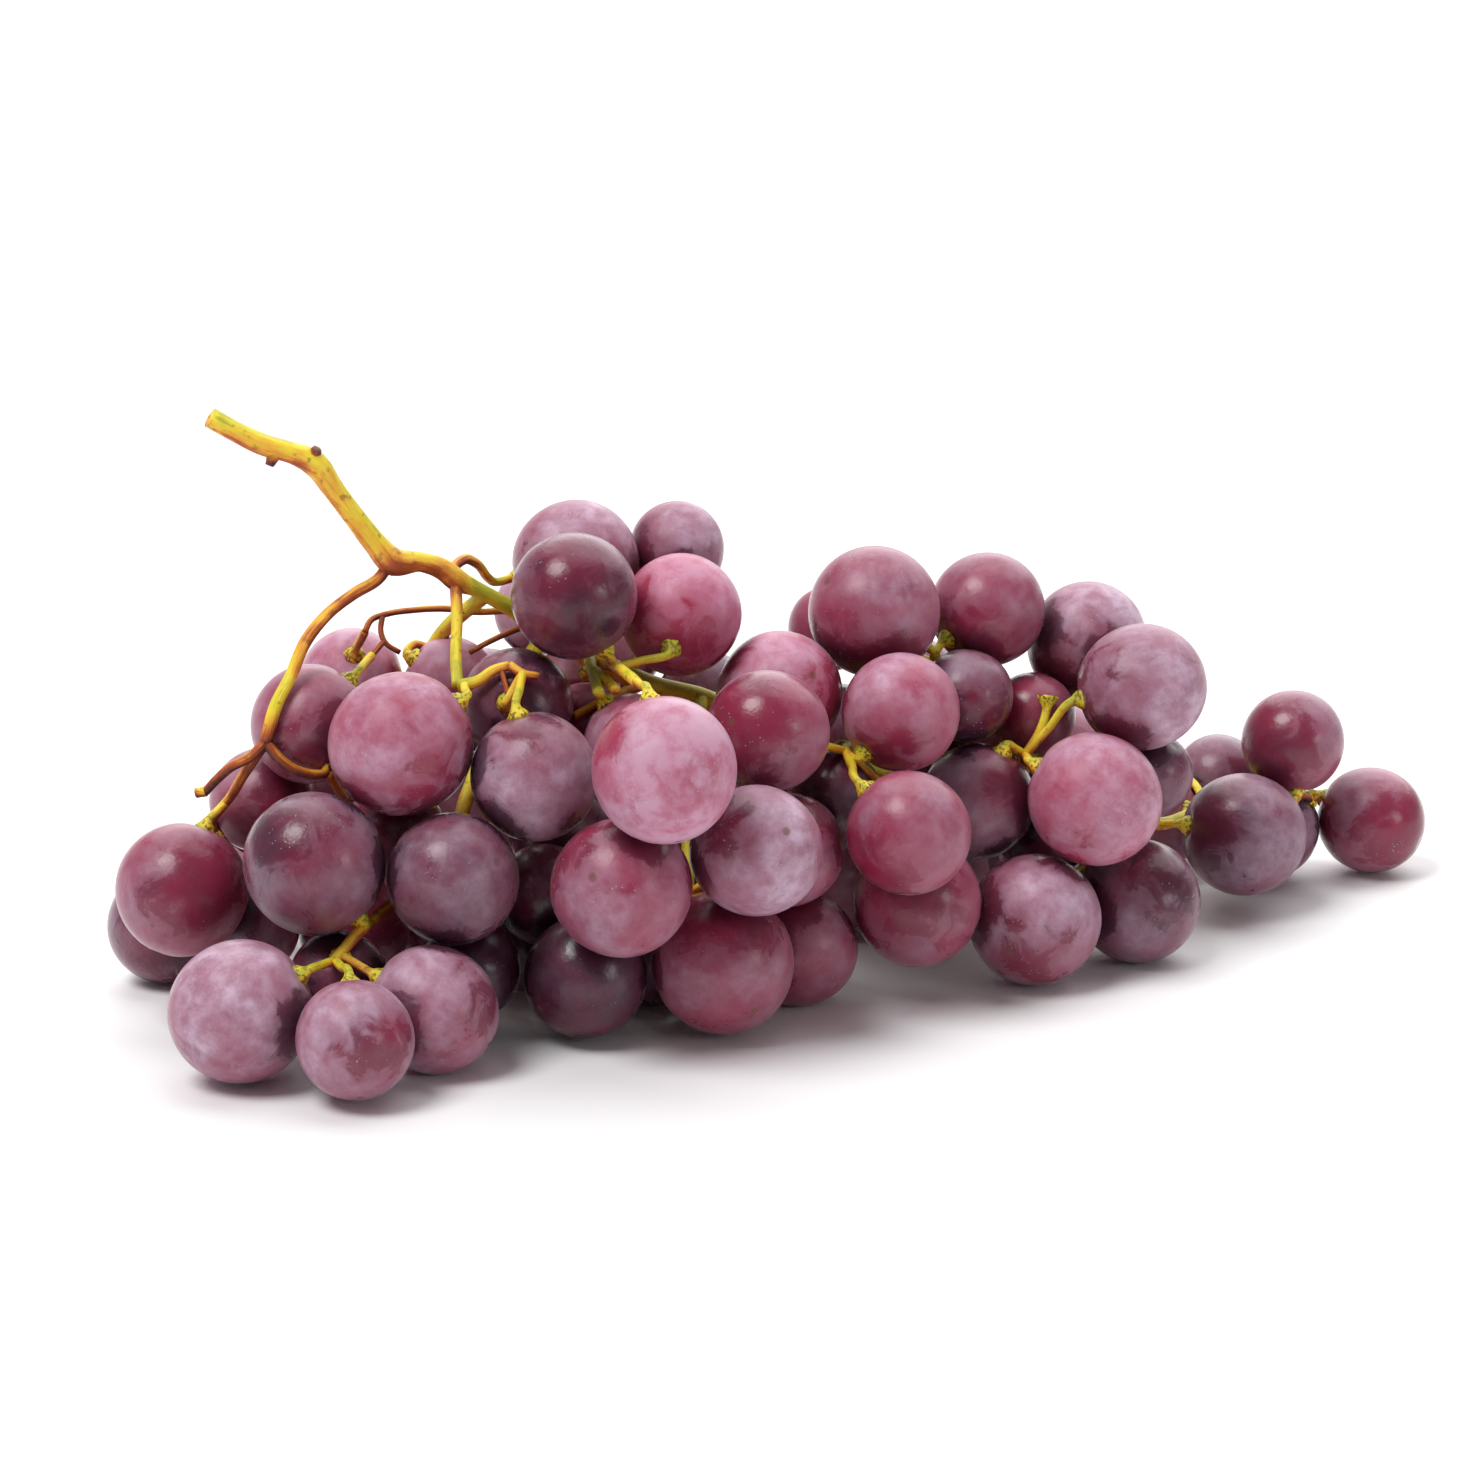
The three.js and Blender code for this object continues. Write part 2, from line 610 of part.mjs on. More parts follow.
for (const [cluster, colour] of Object.entries(SKIN_COLOURS)) {
  const members = grapes.filter((grape) => grape.cluster === cluster);
  const parts = members.map((grape) => grapeBody(grape));
  members.forEach((grape, i) => {
    if (i > 0) {
      const mates = members.slice(0, i);
      mates.sort((a, b) => {
        const first = apart(a.place, grape.place) - a.radius;
        return first - (apart(b.place, grape.place) - b.radius);
      });
      parts.push(padBody(grape, mates[0]));
    }
    if (grape.place[2] < grape.radius - FOOT_SINK / 2) {
      parts.push(footBody(grape));
    }
  });
  const body = wasm.Manifold.union(parts).subtract(belowTable).subtract(cutter);
  const material = new THREE.MeshStandardMaterial({ color: colour, roughness: SKIN_ROUGHNESS, metalness: 0 });
  const mesh = new THREE.Mesh(finished(body), material);
  mesh.name = `grapes_${cluster}`;
  group.add(mesh);
}

const bark = new THREE.MeshStandardMaterial({ color: STEM_COLOUR, roughness: STEM_ROUGHNESS, metalness: 0 });
const stemMesh = new THREE.Mesh(finished(stem), bark);
stemMesh.name = "stem";
group.add(stemMesh);

export default group;
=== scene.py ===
"""A bunch of large red table grapes lying on a pale table, in metres, in the part's own frame.

+X runs from the cut stem end towards the tip of the bunch and +Z is up.
"""
import math

import bpy
import numpy as np
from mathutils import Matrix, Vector


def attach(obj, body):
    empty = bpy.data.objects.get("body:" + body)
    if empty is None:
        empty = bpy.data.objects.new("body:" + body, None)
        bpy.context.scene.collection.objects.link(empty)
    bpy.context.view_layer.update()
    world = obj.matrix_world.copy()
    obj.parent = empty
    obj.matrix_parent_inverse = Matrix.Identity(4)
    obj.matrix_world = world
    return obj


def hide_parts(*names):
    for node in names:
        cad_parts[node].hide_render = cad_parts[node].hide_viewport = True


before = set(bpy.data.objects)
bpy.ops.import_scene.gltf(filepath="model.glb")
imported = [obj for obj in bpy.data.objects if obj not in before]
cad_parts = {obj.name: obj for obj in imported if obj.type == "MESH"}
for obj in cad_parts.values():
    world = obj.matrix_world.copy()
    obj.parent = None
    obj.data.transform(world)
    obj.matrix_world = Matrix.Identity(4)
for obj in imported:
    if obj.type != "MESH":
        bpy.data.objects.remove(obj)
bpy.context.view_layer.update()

# The view. The camera looks at the bunch from its front left and a little above, with a long lens.
# Grapes and twigs are placed in this sight: right and up of the aim point, and deep behind it, in
# millimetres, as a picture on the wall would be measured.
MM = 0.001
TURN_COS, TURN_SIN = 0.906307787, 0.422618262
DOWN_COS, DOWN_SIN = 0.961261696, 0.275637356
SIGHT_DISTANCE = 1300
AIM_HEIGHT = 45
CENTRE_X, CENTRE_Y = 13.8, 0
VIEW_WIDTH = 272
SENSOR_WIDTH = 36


def turned(x, y, z):
    """A point across, back and up, turned about the upright to the bunch's own axes."""
    return [x * TURN_COS + y * TURN_SIN - CENTRE_X, y * TURN_COS - x * TURN_SIN - CENTRE_Y, z]


def placed(right, up, deep):
    """A point of the sight: both sideways measures widen with depth, as the sight lines spread."""
    grow = 1 + deep / SIGHT_DISTANCE
    back = deep * DOWN_COS + up * grow * DOWN_SIN
    return turned(right * grow, back, AIM_HEIGHT - deep * DOWN_SIN + up * grow * DOWN_COS)


def depth_of(p):
    """How deep a point lies in the sight: its share along the line of sight."""
    y = (p[0] + CENTRE_X) * TURN_SIN + (p[1] + CENTRE_Y) * TURN_COS
    return y * DOWN_COS - (p[2] - AIM_HEIGHT) * DOWN_SIN


def sight_way(right, up, deep):
    """A direction of the sight as a unit vector of the bunch's axes."""
    back = deep * DOWN_COS + up * DOWN_SIN
    way = Vector((right * TURN_COS + back * TURN_SIN, back * TURN_COS - right * TURN_SIN,
                  up * DOWN_COS - deep * DOWN_SIN))
    return way.normalized()


view = bpy.data.cameras.new("view")
view.lens = SENSOR_WIDTH * SIGHT_DISTANCE / VIEW_WIDTH
view.sensor_width = SENSOR_WIDTH
view.clip_end = 20
camera = bpy.data.objects.new("view", view)
bpy.context.collection.objects.link(camera)
line_of_sight = sight_way(0, 0, 1)
camera.location = Vector(placed(0, 0, 0)) * MM - line_of_sight * SIGHT_DISTANCE * MM
camera.rotation_euler = line_of_sight.to_track_quat("-Z", "Y").to_euler()
bpy.context.scene.camera = camera

# Where the grapes lie. Each one that shows is set where it is seen; those behind and inside follow
# four loose rows. Then all settle: they push apart, close up within their cluster, keep off the main
# stem and rest on the table, so every grape touches a neighbour and none floats.
SEEN_GRAPES = [
    # cluster, right, up, deep, width, complexion, where seen the way the stalk end points and, for
    # some, the way the side points from which the bloom is rubbed
    ("wing", -102.4, -28.2, -24, 24.7, "wine", (0.35, 0.93, 0.1), (0.35, -0.05, -0.9)),
    ("wing", -89.9, -34.7, -12, 19.0, "dusky", None, None),
    ("wing", -105.5, -34.5, 4, 21.8, "plum", None, (0.2, -0.2, -1)),
    ("left_foot", -70.5, -55.9, -61, 22.3, "lilac", (-0.1, 0.95, 0.3), (0.45, -0.1, -0.9)),
    ("left_foot", -91.7, -50.6, -53, 26.7, "lilac", (0.83, 0.5, -0.1), None),
    ("left_foot", -56.1, -50.4, -48, 24.2, "lilac", (-0.85, 0.5, 0), (0.9, 0.1, -0.4)),
    ("left_foot", -73.6, -45.0, -42, 19.0, "dusky", None, None),
    ("left_foot", -49.6, -42.6, -30, 19.2, "shaded", None, None),
    ("left_foot", -27.7, -44.1, -30, 23.2, "shaded", None, None),
    ("left_foot", -35.4, -29.2, -22, 19.0, "dusky", None, None),
    ("left_front", -52.4, -26.2, -38, 24.7, "plum", None, None),
    ("left_front", -78.0, -23.4, -42, 26.4, "plum", None, (-0.55, 0.3, -0.8)),
    ("left_front", -37.6, -7.2, -29, 24.0, "lilac", (-0.25, 0.95, -0.1), (-0.3, 0.85, -0.4)),
    ("left_front", -61.8, -1.3, -32, 26.9, "rosy", (0.8, 0.58, 0.1), (0.4, -0.85, -0.4)),
    ("left_front", -78.8, 2.4, -16, 22.2, "wine", (0.67, 0.74, 0.1), (0.3, -0.6, -0.8)),
    ("left_front", -87.6, -11.6, -10, 19.5, "wine", None, (0.5, -0.2, -0.8)),
    ("left_front", -63.1, -17.2, -22, 18.5, "wine", None, None),
    ("left_front", -40.6, 6.1, -10, 21.0, "dusky", (-0.15, 0, -1), (0.5, -0.2, -0.9)),
    ("shoulder", -71.2, 10.7, 4, 19.5, "blush", (0.11, 0.5, -0.85), None),
    ("shoulder", -52.6, 9.8, 2, 17.7, "blush", (-0.9, 0.45, -0.1), None),
    ("shoulder", -79.7, -7.0, -4, 18.5, "rosy", None, None),
    ("crown", -29.9, 32.1, 0, 23.6, "lilac", None, (-0.7, -0.5, -0.5)),
    ("crown", -30.1, 26.0, -22, 23.6, "dusky", None, (0.1, -0.2, -1)),
    ("crown", -11.1, 34.7, 9, 17.7, "lilac", None, (-0.5, -0.5, -0.7)),
    ("crown", -10.3, 22.5, -8, 22.9, "flushed", (-0.15, -0.57, -0.8), (0.1, -0.6, -0.8)),
    ("crown", -36.3, 23.4, 16, 17.3, "lilac", None, None),
    ("crown", -29.9, 8.7, 2, 17.0, "blush", None, None),
    ("crown", -28.0, 2.2, -10, 16.0, "blush", None, None),
    ("crown", -19.4, -0.8, -25, 18.0, "rosy", (-0.55, 0.8, -0.1), None),
    ("middle_front", -13.5, -6.1, -57, 27.5, "blush", (-0.2, 0.97, 0.15), (-0.75, 0.55, -0.3)),
    ("middle_front", -21.6, -27.9, -46, 26.4, "wine", None, None),
    ("middle_front", 3.7, -21.0, -38, 24.7, "lilac", None, (-0.6, 0.55, -0.5)),
    ("middle_front", 9.0, -20.8, -16, 21.4, "wine", None, None),
    ("middle_front", -2.8, -41.5, -25, 27.0, "wine", None, (0.1, 0.8, -0.5)),
    ("middle_front", 11.3, -39.1, -9, 21.8, "wine", None, None),
    ("middle_front", 18.1, -11.6, 2, 18.5, "plum", None, None),
    ("middle_top", 7.6, 8.1, -2, 23.4, "blush", None, (0.85, 0.1, -0.5)),
    ("middle_top", 5.7, 1.1, -24, 23.0, "polished", None, (-0.5, 0.1, -0.85)),
    # partly painted light: this grape's bloom is rubbed off low down so that its red skin shows there,
    # standing for the red glow of light shining through it
    ("middle_top", 30.3, 4.6, -12, 22.3, "rosy", (-0.64, -0.7, -0.3), (-0.2, -0.75, -0.6)),
    ("middle_top", 25.3, 23.1, 3, 24.5, "wine", None, (-0.4, -0.8, -0.4)),
    ("middle_top", 17.5, 20.1, 20, 16.0, "wine", None, None),
    ("right_front", 33.2, -30.4, -8, 24.0, "wine", None, (0, 0.1, -1)),
    ("right_front", 31.7, -17.7, -27, 23.4, "wine", (-0.7, 0.7, 0.1), None),
    ("right_front", 54.8, -33.9, 2, 24.7, "lilac", None, None),
    ("right_front", 74.0, -30.3, 15, 23.2, "plum", None, (0.5, 0.3, -0.8)),
    ("right_front", 66.1, -11.3, 0, 24.7, "rosy", (-0.86, 0.5, 0.05), (-0.3, -0.9, -0.3)),
    ("right_front", 44.3, -11.6, 5, 21.5, "plum", (0.45, 0.87, -0.2), (0.75, 0.4, -0.5)),
    ("right_front", 56.8, -17.2, 20, 18.0, "dusky", None, None),
    ("right_top", 46.1, 23.6, 14, 21.4, "wine", None, (-0.5, -0.7, -0.6)),
    ("right_top", 42.3, 7.4, 5, 17.5, "plum", None, (0.3, -0.6, -0.7)),
    ("right_top", 64.6, 17.5, 25, 22.5, "lilac", (-0.57, -0.8, -0.1), (-0.6, -0.5, -0.6)),
    ("right_top", 54.6, 4.0, 24, 16.0, "wine", None, None),
    ("right_top", 74.7, 9.2, 6, 23.8, "lilac", (-0.97, -0.2, -0.1), (-0.8, 0.2, -0.5)),
    ("right_top", 76.2, -7.0, 19, 16.0, "dusky", None, None),
    ("middle_back", -5.9, 6.8, 14, 18.5, "plum", None, None),
    ("tip", 93.4, -17.9, 46, 22.9, "plum", (-0.95, 0.15, -0.25), (-0.8, 0.1, -0.55)),
    ("tip", 98.0, -16.6, 68, 19.2, "plum", None, None),
    ("tip", 88.9, -7.9, 83, 17.0, "plum", (0.1, -0.5, -0.85), None),
    ("tip", 102.6, -0.9, 57, 19.2, "polished", None, (-0.6, -0.1, -0.8)),
    ("tip", 117.0, -15.3, 69, 19.9, "polished", (-1, 0.15, 0), (0.6, -0.2, -0.8)),
]
HIDDEN_ROWS = [
    # first place and last place (across, back, up), width, the cluster of each grape in turn
    ((-84, 18, 11), (70, 62, 11), 22, ("shoulder", "shoulder", "middle_back", "middle_back", "right_back",
                                       "right_back", "right_back", "tip")),
    ((-74, 14, 28), (60, 52, 26), 22, ("shoulder", "shoulder", "middle_back", "middle_back", "right_back",
                                       "right_back", "right_back")),
    ((-46, 16, 47), (-23, 22.5, 45), 21, ("shoulder", "middle_back")),
    ((-74, -12, 11), (84, 44, 11), 21, ("wing", "wing", "wing", "middle_back", "right_back", "right_back",
                                        "right_back", "tip")),
]
HIDDEN_COMPLEXIONS = ("plum", "wine", "lilac", "rosy", "wine", "blush", "polished")
INSIDE_GRAPES = [
    # single ones that close the gaps: cluster, right, up, deep, width
    ("middle_back", 2, 5, 36, 18),
    ("right_back", 33, 9.5, 36, 18),
    ("right_back", 48, 2, 44, 17),
    ("right_back", 18.6, 1.5, 26, 17),
    ("left_foot", -32.7, -17.2, -6, 19),
    ("left_foot", -39.5, -38, -4, 18),
    ("middle_front", -15, -40, -2, 20),
]
SWAY_STEPS = (0.7549, 0.5698, 0.3247)
SWAY, SWAY_SIZE = 5, 0.12
FAR_GAP, MATE_GAP = 0.3, -0.05
MATE_PULL, HOME_PULL = 0.1, 0.25
FOOT_SINK = 0.3
SETTLE_PASSES = 200
RACHIS_CLEARANCE, RACHIS_BEADS, RACHIS_FROM = 2.7, 5, 6
MAIN_STEM = [
    # right, up, deep, radius, warmth of the colour from green-yellow 0 to red-brown 1
    (-97.1, 58.9, -42, 1.9, 0.33),
    (-92.6, 56.4, -40, 1.8, 0.33),
    (-87.3, 53.9, -37.5, 2.0, 0.36),
    (-82.0, 52.4, -35.5, 2.0, 0.5),
    (-78.2, 50.7, -34, 2.4, 0.45),
    (-74.8, 46.2, -31.5, 2.0, 0.3),
    (-70.3, 40.1, -28, 2.0, 0.3),
    (-66.8, 35.6, -25.5, 2.1, 0.34),
    (-63.8, 32.5, -24, 2.6, 0.68),
    (-58.5, 32.3, -21, 1.8, 0.48),
    (-53.9, 30.6, -18, 2.0, 0.6),
    (-52.0, 29.1, -17, 2.1, 0.66),
    (-48.6, 27.5, -14.5, 1.5, 0.1),
    (-44.8, 25.5, -12, 1.5, 0.02),
    (-41.9, 23.9, -10, 1.6, 0.04),
    (-35.4, 19.7, -6, 1.7, 0.1),
    (-25.3, 13.8, -3, 1.9, 0.3),
    (-16.0, 9.8, -1, 1.8, 0.12),
    (-6.8, 7.4, 2, 1.8, 0.1),
    (6.0, 1.3, 8, 1.7, 0.2),
    (21.0, -5.2, 15, 1.7, 0.2),
    (37.5, -8.9, 23, 1.6, 0.2),
    (52.2, -10.7, 30, 1.6, 0.2),
    (68.8, -13.1, 38, 1.5, 0.25),
    (77.5, -16.0, 45, 1.3, 0.3),
    (82.0, -15.0, 53, 1.2, 0.35),
    (86.5, -12.5, 61, 1.1, 0.4),
]


def apart(p, q):
    """Distance of two points."""
    dx, dy, dz = q[0] - p[0], q[1] - p[1], q[2] - p[2]
    return math.sqrt(dx * dx + dy * dy + dz * dz)


def between(p, q, share):
    """The point a share of the way from p to q."""
    return [p[k] + (q[k] - p[k]) * share for k in range(3)]


def move_by(p, q, share):
    """Moves p a share of the way to q."""
    for k in range(3):
        p[k] += (q[k] - p[k]) * share


def gathered():
    """Every grape before it settles: the seen ones in place, the hidden ones swayed off their rows."""
    found = []
    for cluster, right, up, deep, width, complexion, end, rubbed in SEEN_GRAPES:
        found.append({"cluster": cluster, "place": placed(right, up, deep), "home": (right, up), "end": end,
                      "radius": width / 2 * (1 + deep / SIGHT_DISTANCE), "complexion": complexion,
                      "rubbed": rubbed})
    count = 0
    for first, last, width, clusters in HIDDEN_ROWS:
        for i, cluster in enumerate(clusters):
            share = i / (len(clusters) - 1)
            count += 1
            sway = [(count * step) % 1 - 0.5 for step in SWAY_STEPS]
            at = [first[k] + (last[k] - first[k]) * share + SWAY * sway[k] for k in range(3)]
            found.append({"cluster": cluster, "place": turned(*at), "home": None, "end": None,
                          "radius": width / 2 * (1 + SWAY_SIZE * sway[0]), "rubbed": None,
                          "complexion": HIDDEN_COMPLEXIONS[count % len(HIDDEN_COMPLEXIONS)]})
    for cluster, right, up, deep, width in INSIDE_GRAPES:
        found.append({"cluster": cluster, "place": placed(right, up, deep), "home": (right, up),
                      "radius": width / 2 * (1 + deep / SIGHT_DISTANCE), "complexion": "dusky",
                      "end": None, "rubbed": None})
    return found


def shift_pair(p, q, share):
    """Moves p and q the same way along their line: together for a positive share, apart for a negative."""
    for k in range(3):
        step = (q[k] - p[k]) * share
        p[k] += step
        q[k] -= step


def settle(found, beads):
    """Repeated small moves, one grape after another, until all of them only touch."""
    for _ in range(SETTLE_PASSES):
        for i, one in enumerate(found):
            p = one["place"]
            near, near_gap = None, 0
            for j, other in enumerate(found):
                if j == i:
                    continue
                mate = other["cluster"] == one["cluster"]
                distance = apart(p, other["place"])
                gap = distance - one["radius"] - other["radius"]
                want = MATE_GAP if mate else FAR_GAP
                if j > i and gap < want:
                    shift_pair(p, other["place"], -(0.5 * (want - gap)) / distance)
                if j < i and mate and (near is None or gap < near_gap):
                    near, near_gap = other, gap
            if near is not None and near_gap > MATE_GAP:
                shift_pair(p, near["place"], (MATE_PULL * (near_gap - MATE_GAP)) / apart(p, near["place"]))
            for bead in beads:
                distance = apart(p, bead)
                want = one["radius"] + RACHIS_CLEARANCE
                if distance < want:
                    move_by(p, bead, -(want - distance) / distance)
            if one["home"]:
                move_by(p, placed(one["home"][0], one["home"][1], depth_of(p)), HOME_PULL)
            p[2] = max(p[2], one["radius"] - FOOT_SINK)


main_path = [placed(*row[:3]) for row in MAIN_STEM]
rachis_beads = [between(main_path[i], main_path[i + 1], step / RACHIS_BEADS)
                for i in range(RACHIS_FROM, len(main_path) - 1) for step in range(RACHIS_BEADS)]
grapes = gathered()
settle(grapes, rachis_beads)

# The main stem. One grown, woody shoot, cut off at its thick end, that runs through the whole bunch;
# it is thickest where a branch leaves it. Scars of a bud and a leaf and stubs of twigs stand out.
STEM_SIDES = 20
STEM_SPACING = 0.9
STEM_SEED = 1
RIDGE_HEIGHT = 0.03
RIDGES = [
    # waves round the limb, height, twist for each millimetre
    (3, 1.0, 0.08),
    (5, 0.7, -0.05),
    (2, 0.8, 0.35),
]
COARSE_WART_WAVES, COARSE_WART_TWIST, COARSE_WART_BEAT = 4, 2.1, 3.4
FINE_WART_WAVES, FINE_WART_TWIST, FINE_WART_HEIGHT = 7, 4.3, 0.6
GRAIN_STRETCH = 0.06
# painted shade: how far the colour of every stem, branch and stalk turns red-brown on its underside and
# yellow on top, as light from above falls
UNDERSIDE_PAINTED_SHADE = 0.3
SCAR_SIDES, SCAR_SPACING = 10, 0.5
SCAR_WART_HEIGHT, SCAR_WART_REACH = 0.08, 2.0
SCAR_ROOT_WARMTH, SCAR_MIDDLE_WARMTH = 0.4, 0.5
SCARS = [
    # root, tip, radius at the root, radius at the tip, warmth of the tip
    ((-79.0, 50.9, -34.4), (-77.5, 53.1, -36.0), 1.5, 1.0, 1.0),
    ((-85.3, 52.6, -36.7), (-86.3, 50.1, -37.0), 1.6, 0.8, 1.1),
    ((-98.0, -10.0, -28.6), (-99.8, -10.4, -28), 1.0, 0.85, 0.85),
    ((-76.2, -6.8, -29), (-75.3, -4.9, -29), 0.85, 0.75, 0.8),
]


def smooth_path(points, values, spacing):
    """Cubic Hermite curve through the points, sampled evenly; the slopes are the points' differences.

    The values, one row for each point, are carried along with it.
    """
    stations = np.column_stack([np.asarray(points, float), np.asarray(values, float)])
    steps = np.linalg.norm(np.diff(stations[:, :3], axis=0), axis=1)
    chord = np.concatenate([[0], np.cumsum(steps)])
    slopes = np.gradient(stations, chord, axis=0)
    at = np.linspace(0, chord[-1], max(3, int(chord[-1] / spacing) + 1))
    left = np.clip(np.searchsorted(chord, at, side="right") - 1, 0, len(chord) - 2)
    width = (chord[left + 1] - chord[left])[:, None]
    t = (at - chord[left])[:, None] / width
    curve = (stations[left] * (1 + 2 * t) * (1 - t) ** 2 + slopes[left] * width * t * (1 - t) ** 2
             + stations[left + 1] * t ** 2 * (3 - 2 * t) + slopes[left + 1] * width * t ** 2 * (t - 1))
    curve[:, 3:] = stations[left, 3:] * (1 - t) + stations[left + 1, 3:] * t
    return curve


def tube_faces(rows, sides, inside_out=False):
    """Faces of a closed tube of rings: quads from ring to ring and a fan to a middle point at each end.

    The two middle points come after the rings. Inside out, every face runs the other way round.
    """
    step = np.arange(rows - 1)[:, None] * sides
    here = np.arange(sides)[None]
    after = (here + 1) % sides
    quads = np.stack([step + here, step + after, step + sides + after, step + sides + here],
                     axis=-1).reshape(-1, 4)
    ring, follow = here[0], after[0]
    start, last = np.full(sides, rows * sides), (rows - 1) * sides
    fans = np.concatenate([np.stack([start, follow, ring], axis=-1),
                           np.stack([start + 1, last + ring, last + follow], axis=-1)])
    if inside_out:
        quads, fans = quads[:, [0, 3, 2, 1]], fans[:, [0, 2, 1]]
    return quads.tolist() + fans.tolist()


def limb(curve, sides, seed, wart_height=0.0, wart_reach=1.0):
    """A closed round limb along a curve of (x, y, z, radius, warmth) rows.

    Each ring is the radius times a circle square to the path, raised by a few lengthwise ridges
    (cosines of the turn) and, near the far end, by warts (a product of sines along and around).
    """
    centre, radius, warmth = curve[:, :3], curve[:, 3], curve[:, 4]
    along = np.gradient(centre, axis=0)
    along /= np.linalg.norm(along, axis=1)[:, None]
    spare = np.eye(3)[np.argmin(np.abs(along.mean(axis=0)))]
    across = spare - along * (along @ spare)[:, None]
    across /= np.linalg.norm(across, axis=1)[:, None]
    third = np.cross(along, across)
    turn = np.linspace(0, 2 * math.pi, sides, endpoint=False)
    length = np.concatenate([[0], np.cumsum(np.linalg.norm(np.diff(centre, axis=0), axis=1))])
    phase = np.random.default_rng(seed).uniform(0, 2 * math.pi, 6)
    round_it, down_it = turn[None], length[:, None]
    ridges = sum(tall * np.cos(waves * round_it + phase[number] + twist * down_it)
                 for number, (waves, tall, twist) in enumerate(RIDGES))
    to_end = np.clip(1 - (length[-1] - length) / wart_reach, 0, 1)[:, None]
    coarse = (np.sin(COARSE_WART_WAVES * round_it + phase[3] + COARSE_WART_TWIST * down_it)
              * np.sin(COARSE_WART_BEAT * down_it + phase[4]))
    fine = np.sin(FINE_WART_WAVES * round_it + phase[5] - FINE_WART_TWIST * down_it)
    warts = coarse + FINE_WART_HEIGHT * fine
    reach = radius[:, None] * (1 + RIDGE_HEIGHT * ridges + wart_height * to_end * warts)
    rings = centre[:, None] + reach[..., None] * (across[:, None] * np.cos(turn)[None, :, None]
                                                  + third[:, None] * np.sin(turn)[None, :, None])
    rows = len(centre)
    points = np.concatenate([rings.reshape(-1, 3), centre[:1], centre[-1:]])
    grain = np.stack([np.broadcast_to(part, (rows, sides)) for part in
                      (np.cos(round_it), np.sin(round_it), GRAIN_STRETCH * down_it + seed)],
                     axis=-1).reshape(-1, 3)
    grain = np.concatenate([grain, [[0, 0, grain[0, 2]]], [[0, 0, grain[-1, 2]]]])
    # painted shade: the colour is warmer and darker on the underside of each ring and paler on top
    facing = (rings - centre[:, None])[..., 2] / reach
    warmth_with_painted_shade = (warmth[:, None] - UNDERSIDE_PAINTED_SHADE * facing).reshape(-1)
    tone = np.concatenate([warmth_with_painted_shade, warmth[:1], warmth[-1:]])
    rough_end = np.concatenate([np.repeat(to_end[:, 0] * (wart_height > 0), sides), [0], [wart_height > 0]])
    return {"points": points, "faces": tube_faces(rows, sides), "grain": grain,
            "tone": np.column_stack([tone, rough_end, np.zeros(len(tone))])}


def joined_piece(name, shells, vectors, material):
    """One mesh piece out of closed shells in millimetres, with their point attributes."""
    offsets = np.cumsum([0] + [len(shell["points"]) for shell in shells])
    faces = [[corner + int(offset) for corner in face]
             for shell, offset in zip(shells, offsets) for face in shell["faces"]]
    mesh = bpy.data.meshes.new(name)
    mesh.from_pydata((np.concatenate([shell["points"] for shell in shells]) * MM).tolist(), [], faces)
    for vector in vectors:
        data = np.concatenate([shell[vector] for shell in shells]).astype(np.float32)
        mesh.attributes.new(vector, "FLOAT_VECTOR", "POINT").data.foreach_set("vector", data.ravel())
    mesh.polygons.foreach_set("use_smooth", np.ones(len(mesh.polygons), bool))
    mesh.materials.append(material)
    mesh.update()
    piece = bpy.data.objects.new(name, mesh)
    bpy.context.collection.objects.link(piece)
    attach(piece, "root")
    return piece


def wire(tree, kind, inputs=(), **settings):
    """A new node of a material, with its settings, and its inputs set or linked by name or number."""
    made = tree.nodes.new(kind)
    for key, value in settings.items():
        setattr(made, key, value)
    for key, value in dict(inputs).items():
        if isinstance(value, bpy.types.NodeSocket):
            tree.links.new(value, made.inputs[key])
        else:
            made.inputs[key].default_value = value
    return made


def ramp(tree, value, stops):
    """A colour ramp over a value: each stop is a place and a colour."""
    made = wire(tree, "ShaderNodeValToRGB", {0: value})
    row = made.color_ramp.elements
    while len(row) < len(stops):
        row.new(0.5)
    for element, (place, colour) in zip(row, stops):
        element.position = place
        element.color = (*colour, 1)
    return made.outputs["Color"]


def span(tree, value, low, high, to_low=0.0, to_high=1.0):
    """A value between low and high eased on to a new range."""
    made = wire(tree, "ShaderNodeMapRange", {"Value": value, "From Min": low, "From Max": high,
                                             "To Min": to_low, "To Max": to_high},
                interpolation_type="SMOOTHSTEP")
    return made.outputs["Result"]


def reckon(tree, operation, first, second=0.0, third=0.0):
    """One sum of two or three values."""
    made = wire(tree, "ShaderNodeMath", {0: first, 1: second, 2: third}, operation=operation)
    return made.outputs[0]


def swung(tree, noise, amount, value):
    """A value swung up and down by a noise: the value plus the amount times the noise less its middle."""
    return reckon(tree, "MULTIPLY_ADD", reckon(tree, "SUBTRACT", noise, 0.5), amount, value)


def painted(tree, share, under, over):
    """One colour laid over another by a share; each is a colour or the socket that gives one."""
    first, second = ((*colour, 1) if isinstance(colour, tuple) else colour for colour in (under, over))
    made = wire(tree, "ShaderNodeMix", {0: share, 6: first, 7: second}, data_type="RGBA")
    return made.outputs[2]


def new_material(name):
    """An empty material with its tree, its surface shader and that shader linked to the output."""
    material = bpy.data.materials.new(name)
    material.use_nodes = True
    tree = material.node_tree
    tree.nodes.clear()
    shader = tree.nodes.new("ShaderNodeBsdfPrincipled")
    output = tree.nodes.new("ShaderNodeOutputMaterial")
    tree.links.new(shader.outputs[0], output.inputs["Surface"])
    return material, tree, shader


